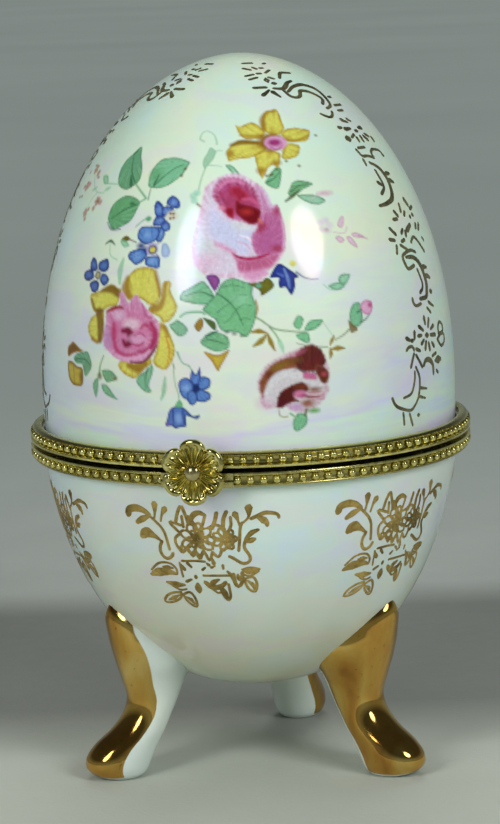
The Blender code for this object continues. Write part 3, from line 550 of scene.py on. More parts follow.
def paint_big_rose(art):
    """The large open rose: a deep pink cup over pale outer petals."""
    outline = [
        (0.8, 41.8), (3.8, 42.9), (6.5, 43.4), (9.5, 43.7), (12.5, 43.6), (15, 43.1), (18, 42.2),
        (20.8, 41),
        (22.5, 39), (24.4, 38.9), (25.7, 36.3), (25.6, 33.5), (23.9, 31.2), (20.5, 29.6), (18, 28.2),
        (15.5, 27.8),
        (13.5, 28.2), (12, 28.6), (6.5, 28.6), (2.6, 29), (-0.4, 30.2), (-1.9, 32.1), (-2, 34.2),
        (-1.4, 36.2),
        (-0.4, 38.4), (0.3, 40.4),
    ]
    art.shape(outline, (206, 198, 216), rim=(212, 176, 200), rim_width=1.0, soft=0.25)
    art.fan(outline, (10, 35), (222, 214, 232), 40, 0.35, 0.35, 0.5)
    art.fan(outline, (10, 35), (202, 150, 182), 26, 0.16, 0.3, 0.35)
    lower = [
        (10, 31.8), (12, 31.3), (14.9, 31.2), (18.4, 31.5), (21.4, 31.9), (23.7, 31.8), (22.3, 30.7),
        (20.5, 29.8),
        (17, 29.5), (13.6, 29.3), (11.4, 29.6), (10.9, 30.9),
    ]
    pale = [(11.5, 29.4), (14, 29.7), (17.5, 30), (20.2, 29), (18, 28.4), (15.5, 27.9), (13.8, 28.3),
            (12.3, 29)]
    art.shape(pale, (206, 148, 184), rim=(214, 170, 200), rim_width=0.5, soft=0.2)
    art.shape(lower, (178, 92, 130), rim=(190, 118, 158), rim_width=0.5, soft=0.3)
    art.fan(lower, (15, 34), (214, 140, 178), 16, 0.3, 0.2, 0.5)
    art.spot((2.2, 31.2), (2.0, 1.4), (214, 168, 196), soft=1.0, strength=0.6)
    art.spot((2.6, 33.2), (1.6, 1.2), (196, 206, 206), soft=0.9, strength=0.6)
    left = [
        (2.5, 38.5), (4, 39.2), (7.5, 37.4), (11, 36.9), (14.5, 36.1), (16.8, 36), (17, 35.2), (15.3, 32.8),
        (14, 31.6),
        (10, 32.2), (6, 33.4), (2.5, 34.8), (2, 36.5),
    ]
    art.shape(left, (194, 198, 226), rim=(206, 196, 222), rim_width=0.8, soft=0.22)
    art.fan(left, (9, 35.5), (216, 206, 228), 22, 0.5, 0.3, 0.5)
    art.spot((13.5, 36.3), (1.8, 1.0), (202, 206, 206), soft=0.6, strength=0.8)
    art.stroke([(12, 34.8), (15, 34.2), (16, 33)], (232, 222, 236), (0.2, 0.35, 0.25), strength=0.9)
    art.stroke([(11, 33.9), (13.8, 33.4), (15.2, 32.6)], (206, 158, 190), (0.15, 0.3, 0.2), strength=0.7)
    outer = [(18, 42.1), (20.5, 41.2), (22.1, 39.4), (23, 38.2), (20.5, 37.2), (18.6, 37.4), (18.6, 39.8)]
    art.shape(outer, (190, 132, 172), rim=(206, 172, 204), rim_width=0.6, soft=0.3)
    art.fan(outer, (18.5, 38), (170, 84, 128), 14, 0.5, 0.16, 0.6)
    right = [
        (24.3, 38.9), (22.9, 38.3), (21.2, 37.9), (19.2, 37.7), (17.8, 36.7), (17.7, 35.7), (15.8, 34.7),
        (15.7, 33.3),
        (16.7, 32), (18.4, 31.6), (21.3, 31.7), (24.3, 32.1), (25.5, 33.5), (25.7, 35.5), (25.2, 37.6),
    ]
    art.shape(right, (172, 92, 142), rim=(184, 110, 156), rim_width=0.6, soft=0.25)
    art.fan(right, (18.5, 33), (196, 130, 170), 26, 0.55, 0.24, 0.5)
    art.fan(right, (18.5, 33), (158, 66, 112), 16, 0.4, 0.18, 0.45)
    for place, size in (((23, 32.6), (0.9, 0.5)), ((19, 36), (0.7, 0.6)), ((24, 38), (0.35, 0.5)),
                        ((18.2, 35.4), (0.5, 0.4))):
        art.spot(place, size, WINE, soft=0.35, strength=0.75)
    art.stroke([(25.2, 36.8), (25.5, 34.6), (24.8, 32.6)], (206, 160, 192), (0.3, 0.45, 0.3), strength=0.8)
    art.stroke([(9.8, 32.2), (11.5, 31.6), (14.5, 31.3), (18, 31.5), (20.4, 31.9)], (164, 40, 86),
               (0.25, 0.5, 0.55, 0.5, 0.3))
    art.stroke([(5, 33.6), (8, 32.9), (10.3, 32.3)], (206, 130, 170), (0.5, 0.7, 0.6), soft=0.35,
               strength=0.8)
    art.stroke([(19.8, 41.4), (21.3, 40.2), (22, 38.9)], (206, 186, 214), (0.4, 0.6, 0.4), soft=0.3,
               strength=0.7)
    cup = [
        (3.3, 41), (4.2, 42.2), (6.3, 43), (9.5, 43.2), (12.8, 43), (15.5, 42.3), (17.6, 41.4), (18.8, 40),
        (19.2, 38.5),
        (17.8, 36.4), (15.5, 36.3), (13, 36.7), (9.3, 37.2), (7.8, 37.8), (5, 39.5), (3.8, 40.2),
    ]
    art.shape(cup, (172, 82, 132), rim=(194, 124, 166), rim_width=1.0, soft=0.28)
    art.fan(cup, (12, 39.5), (206, 152, 186), 30, 0.3, 0.24, 0.5)
    art.fan(cup, (12, 39.5), (150, 46, 84), 34, 0.5, 0.2, 0.5)
    art.shape([
        (7, 38.3), (6.6, 40), (8.4, 41.7), (12, 42), (16, 41.2), (18.2, 39.6), (18.2, 37.6), (14, 37.6),
        (10, 37.8),
    ], (160, 56, 92), rim=(170, 76, 122), rim_width=0.9, soft=0.4, strength=0.85)
    for start, end in (((5.5, 41.3), (8, 39.3)), ((8.6, 42.3), (9.6, 40.6)), ((16.6, 41.4), (17.6, 39.6)),
                       ((11.5, 42.6), (12.4, 41.5)), ((14.3, 42.2), (15, 41.2)),
                       ((4.6, 40.6), (6.2, 39.2))):
        art.stroke([start, end], (140, 34, 66), (0.45, 0.25), soft=0.22, strength=0.75)
    art.shape([
        (9.3, 41.6), (11.5, 41.9), (14, 41.2), (15.2, 40.4), (13.6, 39.9), (12, 39.5), (11, 40.3),
        (9.8, 40.6),
    ], WINE, rim=(172, 52, 78), rim_width=0.5, soft=0.25, strength=0.9)
    art.shape([
        (11.2, 39.8), (13, 39.3), (15.5, 39), (18.8, 38.3), (18.5, 37.2), (17.4, 36.4), (15, 36.4),
        (11.8, 37.6), (11, 38.5),
    ], (108, 16, 28), rim=(132, 30, 46), rim_width=0.5, soft=0.2)
    art.shape([
        (7.8, 38.6), (9, 38.9), (10.3, 38.7), (10.5, 37.9), (10, 37.2), (8, 37.9),
    ], (136, 24, 40), rim=(168, 50, 76), rim_width=0.35)
    art.spot((14.4, 38.1), (0.8, 0.45), (178, 50, 50), soft=0.4, strength=0.8)
    art.spot((6.5, 38.8), (0.5, 0.3), (220, 130, 160), soft=0.2, strength=0.8)
    art.stroke([(13.4, 39.9), (16, 39.9), (18.3, 39.2)], (196, 88, 130), (0.3, 0.6, 0.4), soft=0.2,
               strength=0.8)
    art.stroke([(5.4, 41.4), (7.4, 42.4), (10.5, 42.7), (14, 42.2)], (212, 130, 174), (0.3, 0.5, 0.45, 0.3),
               soft=0.2, strength=0.8)
    art.stroke([(5.6, 40.4), (7.6, 41), (9, 42)], (170, 56, 100), (0.3, 0.45, 0.25), soft=0.2, strength=0.8)
    art.stroke([(18.3, 36.9), (19, 36.4)], (206, 110, 70), (0.4, 0.3), strength=0.7)
    art.shape([
        (2.3, 28.9), (4.7, 29.1), (6.3, 28.2), (5, 26.7), (4, 27.2), (3, 28.1),
    ], (140, 72, 138), rim=(88, 52, 116), rim_width=0.5)


def paint_maroon_rose(art):
    """The dark rose at the lower right."""
    outline = [
        (15.8, 13), (17.8, 15.2), (21.5, 16.5), (25.5, 17.4), (29.5, 18.1), (31.5, 18), (34, 16.2),
        (35.1, 13.8),
        (34.4, 12), (34.6, 11), (32, 9.2), (29, 8.2), (25.5, 8.3), (22.5, 9.2), (18.5, 8.9), (16.8, 9.5),
        (16.3, 11),
    ]
    art.shape(outline, (196, 190, 196), rim=(192, 158, 176), rim_width=0.9, soft=0.35, strength=0.9)
    art.fan(outline, (25, 12), (170, 100, 120), 36, 0.25, 0.16, 0.5)
    crescent = [
        (16.9, 10.7), (16.3, 12), (16.4, 13.2), (18.6, 15), (22, 16.2), (27, 16.6), (27, 15), (22.5, 14.6),
        (19.3, 13), (17.3, 11.4),
    ]
    art.shape(crescent, (128, 72, 32), rim=(146, 82, 58), rim_width=0.5, soft=0.2)
    art.fan(crescent, (22, 12), MAROON, 20, 0.25, 0.25, 0.5)
    art.spot((21.5, 15.2), (1.3, 0.4), (124, 96, 24), soft=0.3, turn=20, strength=0.85)
    art.spot((18.8, 14), (0.7, 0.5), MAROON, soft=0.3, turn=40, strength=0.8)
    top = [
        (26.3, 17), (29.5, 18.1), (31.5, 17.9), (33.2, 17.2), (34, 16.1), (33.9, 15), (31, 14.2),
        (29, 14.2),
        (27.2, 14.5), (26, 15.3),
    ]
    art.shape(top, (98, 30, 14), rim=(116, 44, 26), rim_width=0.5, soft=0.2)
    art.fan(top, (30, 13), (60, 16, 8), 22, 0.6, 0.35, 0.6)
    art.spot((25.5, 16), (1.2, 0.45), (104, 66, 20), soft=0.3, strength=0.8)
    art.spot((26.6, 17), (1.2, 0.3), (176, 86, 116), soft=0.25, turn=18, strength=0.7)
    lobe = [(31.5, 15), (33.5, 14.8), (34.9, 13.8), (34.8, 12.8), (34, 12.2), (32.8, 12.3), (32, 13.2),
            (31.3, 14)]
    art.shape(lobe, (92, 36, 22), rim=(112, 62, 36), rim_width=0.4, soft=0.2)
    art.spot((33.6, 13.6), (0.4, 0.3), (176, 70, 80), soft=0.25, strength=0.8)
    art.shape([(27.8, 14), (29.5, 14), (31.3, 13.6), (31.3, 12.9), (28, 13.2)], (184, 92, 134), soft=0.25,
              strength=0.95)
    art.stroke([(17.9, 10.4), (18.5, 11.8), (20, 13.2), (22.5, 14), (27, 13.6)], (204, 204, 206),
               (0.7, 1.0, 1.1, 1.0, 0.7), soft=0.25)
    art.stroke([(28, 12.6), (31, 12.3), (33, 12)], (204, 200, 206), (0.4, 0.6, 0.4), soft=0.2, strength=0.9)
    heart = [
        (20.7, 9), (20.6, 10), (21.3, 11), (22.7, 11.8), (26.5, 12.6), (28, 12.4), (29, 11.8), (28.7, 11.2),
        (27, 11.3), (25.7, 10.9), (25.3, 10.2), (26.3, 9.8), (24, 9.6), (22, 9),
    ]
    art.shape(heart, (76, 6, 8), rim=(104, 30, 24), rim_width=0.45, soft=0.2)
    art.fan(heart, (24, 10.8), (52, 8, 8), 14, 0.6, 0.3, 0.6)
    art.spot((27.3, 12), (1.1, 0.4), (106, 48, 20), soft=0.3, strength=0.8)
    art.spot((26.8, 10.8), (1.0, 0.6), (196, 112, 152), soft=0.25)
    art.spot((27.8, 10.6), (0.5, 0.25), (140, 40, 90), soft=0.2, strength=0.8)
    for i in range(4):
        height = 11 - 0.35 * i
        art.stroke([(29, height), (31.5, height), (33.3, height - 0.15)], (176, 92, 118), (0.2, 0.22, 0.12),
                   strength=0.8)
    art.spot((30.8, 11.4), (1.0, 0.35), (122, 70, 34), soft=0.25, strength=0.9)
    art.spot((28.7, 9.4), (1.0, 0.55), (134, 68, 34), soft=0.3, strength=0.9)
    art.stroke([(28.6, 10.4), (32, 10.2)], (120, 26, 40), (0.4, 0.2), strength=0.8)
    art.spot((25.6, 8.9), (1.0, 0.5), (186, 150, 190), soft=0.3)
    art.spot((17.2, 9.8), (1.0, 0.8), (204, 152, 186), soft=0.7, strength=0.5)
    art.leaf([(24.6, 6.2), (25, 7.2), (26, 7.9), (27.5, 7.9), (28.6, 7.2), (28, 6), (25.5, 5.2)],
             (98, 172, 118))
    art.stroke([(24, 8), (25, 7.6)], LEAF, (0.3, 0.3), strength=0.9)
    art.spot((30.5, 8.2), (0.9, 0.35), (96, 158, 78), soft=0.25)
    art.stroke([(28, 7.6), (28.3, 8.4)], (80, 90, 34), (0.4, 0.4), strength=0.9)
    art.stroke([(21, 8.6), (21.3, 7.8), (22.5, 7.5), (23.3, 7.6)], (128, 130, 60), (0.2, 0.2), strength=0.8)


def paint_centre_leaves(art):
    """Leaves under the big rose."""
    art.stroke([(-4.8, 22.9), (-3, 23.5), (1, 23.6), (2, 23.3)], LEAF, (0.3, 0.35), strength=0.85)
    art.leaf([
        (-4.5, 26.5), (-3, 27), (1, 28.1), (2.5, 27.7), (4.5, 26.2), (4, 25.3), (2.5, 24.7), (-1.5, 24.9),
        (-5, 25.4),
    ], (104, 178, 128), [(4, 26), (0.5, 26.6), (-3.5, 26)])
    art.leaf([
        (-6.8, 22), (-5.5, 22.4), (-3, 21.4), (-2.8, 20.7), (-4, 20.1), (-5.5, 20.1), (-7.8, 21.5),
    ], (108, 170, 130))
    art.leaf([
        (5.2, 26.3), (6.3, 27.5), (8, 28.3), (10, 28.6), (12, 28.2), (15.2, 27.4), (15.2, 26), (16.2, 24),
        (15.4, 21.8),
        (13.5, 19.9), (12, 20.1), (10.8, 20.5), (9.2, 20.6), (6.5, 20.9), (4.9, 22.5), (3.5, 23), (1.5, 24),
        (3, 25),
    ], (98, 172, 116), [(5.2, 26.4), (8.5, 25.2), (10.8, 23.6), (12.4, 21.6)], (
        [(7, 27.2), (9, 27.5), (11, 27.4), (12.8, 27.1)],
        [(5.5, 23.5), (7, 24.2), (9, 24.9)],
        [(9.4, 25), (11.6, 26), (13.8, 26)],
        [(10.6, 23.9), (12.8, 24.6), (14.8, 24.4)],
        [(10.2, 23.6), (9, 22.6), (7.4, 22)],
        [(11.6, 22.4), (13, 22.6), (14.4, 22.4)],
    ))
    art.spot((12, 25.4), (1.2, 0.8), LEAF_PALE, soft=0.6, strength=0.6)
    art.stroke([(16, 25.2), (16.4, 24), (16, 23)], OCHRE, (0.25, 0.35, 0.2), strength=0.8)
    art.shape([
        (1.5, 22.8), (4.6, 22.2), (5.2, 21.2), (4.6, 20.9), (3.2, 21.6), (2, 22.4),
    ], (84, 96, 34), rim=LEAF_DARK, rim_width=0.3)
    for place in ((8, 20.6), (10, 20.3), (12, 20)):
        art.spot(place, (0.35, 0.2), LEAF_DARK, strength=0.8)
    art.shape([
        (14, 27.8), (17.8, 27.9), (19, 28.4), (20.3, 28.2), (21.3, 27.3), (20.3, 26.6), (17.6, 25.8),
        (17.2, 26.6),
    ], (104, 104, 30), rim=(72, 74, 20), rim_width=0.4)
    art.spot((17, 27.3), (0.4, 0.3), (96, 176, 150), strength=0.8)
    art.shape([
        (-0.8, 21.5), (0, 22.3), (1, 22.7), (1.7, 22.2), (1.4, 21.3), (0.3, 20.7),
    ], (148, 116, 32), rim=BROWN, rim_width=0.3)
    art.leaf([
        (3.3, 20.5), (5, 20.7), (8, 20), (8.6, 19), (8.3, 18.2), (6.5, 17.8), (4.5, 17.8), (1, 18.9),
        (1.8, 19.9),
    ], (96, 164, 112), [(2.6, 19.6), (5, 19.3), (7.6, 18.8)])
    art.stroke([(2.3, 20), (4, 20.4), (5.5, 20.8)], LEAF_DARK, (0.3, 0.4, 0.2), strength=0.85)
    art.shape([
        (1.8, 17.7), (5.5, 17.2), (8.5, 18), (8, 17.2), (6.3, 15.6), (5.4, 14.8), (3.8, 16.3),
    ], (188, 166, 52), rim=(150, 108, 22), rim_width=0.45)


def paint_right_sprigs(art):
    """Stems with gold and green leaves, the rosebud and the pale flower on the right."""
    stem = (104, 138, 92)
    art.stroke([
        (15.8, 22.7), (17.5, 22.1), (20.5, 20.9), (24.5, 20.4), (29, 20.2), (33, 20.9), (34, 21.6),
    ], stem, (0.3, 0.25, 0.2), strength=0.85)
    art.stroke([(19.5, 21.1), (21, 20), (21.9, 19)], stem, (0.25, 0.25), strength=0.85)
    art.stroke([(21.9, 19), (22.6, 17.9), (22.8, 17.2)], LEAF_PALE, (0.6, 0.7, 0.2), strength=0.8)
    art.stroke([(26.5, 18.5), (30.5, 17.9), (35, 17.6)], stem, (0.15, 0.2, 0.2), strength=0.85)
    art.stroke([(41.8, 19.9), (40, 19.2), (37.5, 18.6)], stem, (0.3, 0.18), strength=0.85)
    art.stroke([(34, 21.6), (37.5, 18.6)], stem, (0.14, 0.14), strength=0.4)
    for line, widths in (
        ([(14.6, 20.5), (16.6, 20.6), (18.4, 20.3)], (0.3, 0.8, 0.3)),
        ([(18.5, 20), (17, 19.1), (15, 18.4)], (0.3, 0.95, 0.3)),
        ([(18.8, 20.2), (19.5, 19), (20.6, 17.6)], (0.25, 0.85, 0.2)),
        ([(37.2, 19.2), (36.4, 18.5), (35.8, 17.9)], (0.15, 0.6, 0.2)),
        ([(36, 17.2), (38, 17.3), (40, 17.2)], (0.2, 0.85, 0.2)),
        ([(35.8, 17.3), (35.9, 16.5), (35.6, 15.9)], (0.3, 0.7, 0.2)),
    ):
        art.stroke(line, (150, 128, 44), widths)
        art.stroke(line, (112, 90, 24), (0.1, 0.2, 0.1), strength=0.6)
    for outline in (
        [(26, 21.5), (27, 22.4), (27.8, 22.6), (28.8, 22), (27.8, 20.7), (26.5, 20.8)],
        [(29, 20.4), (29.8, 21.3), (31.3, 21.8), (34.2, 21.7), (33, 20.9), (31.5, 20.4)],
        [(26.7, 19.8), (28.2, 20), (29.8, 19.9), (30.2, 19), (29.5, 18.4), (27, 19.2)],
    ):
        art.leaf(outline, (104, 178, 126))
    art.leaf([
        (42.3, 20.8), (42.5, 22.3), (43.7, 23.5), (45, 23.8), (46.3, 23.5), (46.5, 21.5), (45.5, 20.4),
        (43.5, 20.1),
    ], (106, 176, 130))
    art.shape([
        (46.2, 22.5), (46.5, 23.5), (48, 24), (50, 23.8), (50.3, 23), (49.5, 22), (48, 21.8),
    ], (212, 162, 194), rim=(188, 110, 156), rim_width=0.4)
    art.spot((49.4, 23.2), (0.4, 0.4), (182, 84, 132), soft=0.2)
    for line in ([(45, 22.3), (46.5, 22.7)], [(45.8, 20.8), (47.5, 21.2), (48.8, 21.8)]):
        art.stroke(line, LEAF_DARK, (0.3, 0.2), strength=0.85)
    art.shape([(41.8, 21.3), (42.8, 20.8), (44.6, 19.8), (43, 19.4), (42.2, 19.5)], (112, 92, 40),
              strength=0.9)
    art.leaf([(40.3, 27.3), (41, 28), (42.5, 28.2), (44.2, 28), (42.8, 26.8), (41.5, 26.7)], LEAF_PALE)
    art.leaf([(37, 26.6), (39, 27), (40.8, 27), (42, 26.4), (39.5, 25.9)], LEAF_PALE)
    art.stroke([(35.6, 26.9), (37, 26.2), (38.5, 26)], LEAF_PALE, (0.2, 0.25), strength=0.8)
    art.leaf([
        (21.2, 42.2), (22.3, 42.9), (24, 43.8), (26, 44.4), (27.5, 44), (26.3, 42), (25, 41.3),
        (22.8, 41.6),
    ], (98, 172, 118), [(22, 42.3), (24.4, 42.8), (26.8, 43.7)])
    art.leaf([
        (28.5, 40.5), (29.5, 41.3), (31, 42.1), (33.5, 42.3), (38, 41.7), (34, 41), (30, 40),
    ], (96, 160, 104), [(29.5, 40.7), (32.5, 41.5), (36, 41.7)])
    art.stroke([(27.3, 39.4), (29.5, 40), (32.5, 40.9)], (66, 84, 34), (0.3, 0.6, 0.2), strength=0.9)
    art.leaf([(31.5, 40.2), (34, 40.2), (38, 40), (41, 39.2), (39, 38.7), (36, 38.8), (33, 39.5)],
             (140, 190, 160))
    art.spot((41.5, 40.2), (1.3, 0.4), (204, 150, 180), soft=0.25, strength=0.7)
    art.stroke([(36, 39.4), (38.6, 40.1), (41, 40.2)], BLUSH, (0.14, 0.18), strength=0.6)
    for i in range(5):
        angle = math.tau * i / 5
        place = (39 + 1.5 * math.cos(angle), 35.5 + 0.8 * math.sin(angle))
        art.spot(place, (0.6, 0.45), (206, 186, 214), soft=0.25, strength=0.55)
    art.spot((39.2, 34.9), (0.3, 0.25), (180, 150, 120), strength=0.7)
    art.stroke([(41.5, 34.4), (45, 34.2), (46.5, 35)], (196, 160, 190), (0.14, 0.16), strength=0.75)
    for petal in (
        [(45.5, 33.5), (46.8, 33.6), (48.3, 32.6), (48.6, 31.8), (46.2, 32.6)],
        [(47.5, 33.9), (49, 34.1), (51, 33.7), (52, 33.3), (48.5, 33.4)],
        [(43.2, 35.4), (44.6, 36.4), (46, 36.6), (45.6, 35.6), (44.4, 35)],
        [(41.6, 33.6), (43.2, 33.8), (44.6, 33.2), (43, 32.8)],
    ):
        art.shape(petal, (214, 178, 206), rim=(190, 120, 166), rim_width=0.3, strength=0.8)
    art.stroke([(50, 33.5), (53, 33)], (190, 130, 170), (0.3, 0.2), strength=0.7)


def paint_yellow_flower(art):
    """The yellow narcissus at the top of the bouquet."""
    heart = (26, 48)
    petals = (
        [(23, 49.8), (23.3, 51), (24.5, 52), (26.5, 52.5), (29, 52.6), (32, 52.6), (32.5, 50.8),
         (32.3, 49.8), (28, 49)],
        [(30.5, 49.3), (36, 49.9), (42, 49.6), (44, 49.2), (41, 48), (37, 47.9), (33, 48)],
        [(31.5, 47.6), (36.5, 47.4), (36.2, 46.5), (34, 45.7), (29.5, 45.5), (29, 46.2)],
        [(18.8, 46.4), (18.7, 45), (20, 43), (21, 43.2), (22.5, 44.2), (25, 44.8), (26.5, 44.3), (28, 46.3),
         (23, 46.9)],
        [(8.8, 45.5), (8, 46.2), (8, 47.2), (12, 48.4), (16, 48.3), (22.5, 48), (23, 47), (16.5, 45.9),
         (12, 45.8)],
        [(11.2, 50.5), (13, 50.4), (17, 50.9), (20, 50.8), (23.5, 49.6), (22.5, 48.9), (20, 48.6),
         (14.2, 48.8)],
    )
    for outline in petals:
        art.shape(outline, YELLOW, rim=(170, 140, 30), rim_width=0.5)
        art.fan(outline, heart, OCHRE, 12, 0.35, 0.18, 0.5)
        art.fan(outline, heart, (216, 212, 110), 8, 0.6, 0.25, 0.4)
        reach = np.array(heart) * 0.35 + np.mean(outline, axis=0) * 0.65
        art.stroke([heart, tuple(reach)], (158, 118, 24), (2.2, 1.3, 0.2), soft=0.5, strength=0.7)
    art.stroke([(23.4, 50), (23.6, 51.4), (26.5, 52.3), (30.5, 52.4)], OCHRE, (0.9, 0.9, 0.5, 0.3),
               soft=0.25, strength=0.85)
    art.stroke([(32, 48.2), (37, 48.1), (42.5, 48.7)], OCHRE, (0.4, 0.4, 0.3), soft=0.2, strength=0.8)
    art.stroke([(9.5, 47.8), (14, 48.2), (20, 48)], BROWN, (0.6, 0.9, 0.7), soft=0.25, strength=0.85)
    art.spot((9, 46.6), (0.6, 0.6), OCHRE, soft=0.3, strength=0.8)
    art.spot((20.2, 44), (0.7, 0.6), OCHRE, soft=0.3, strength=0.8)
    art.spot((26.2, 45), (0.7, 0.4), OCHRE, soft=0.3, strength=0.8)
    art.stroke([(13, 49.2), (18, 49), (22, 49)], OCHRE, (0.3, 0.5, 0.5), soft=0.2, strength=0.7)
    art.spot((25.5, 48), (2.0, 1.45), (132, 88, 14), soft=0.4, strength=0.95)
    art.spot((27.3, 47.9), (1.75, 1.25), (206, 150, 190), soft=0.2)
    art.spot((26.9, 47.95), (1.0, 0.6), (152, 52, 112), soft=0.25)
    art.stroke([(24.8, 47.4), (27.4, 46.9), (29.8, 47.5)], (166, 84, 134), (0.2, 0.3, 0.2), strength=0.8)
    for place in ((34.5, 44.4), (24, 43.4), (22, 43.2), (26, 44.1), (30, 45.2), (46, 48.6), (23.3, 43.3)):
        art.spot(place, (0.25, 0.2), (84, 84, 30), strength=0.85)


def paint_bouquet(art):
    """The whole bouquet, from what lies behind to what lies in front."""
    paint_tendril(art)
    paint_upper_left_leaves(art)
    paint_berries(art)
    paint_right_sprigs(art)
    paint_yellow_flower(art)
    paint_small_sprigs(art)
    paint_far_left_flower(art)
    paint_bells(art)
    paint_centre_leaves(art)
    paint_big_rose(art)
    paint_blue_flowers(art)
    paint_small_rose(art)
    paint_maroon_rose(art)


# ---------------------------------------------------------------------------- gilding

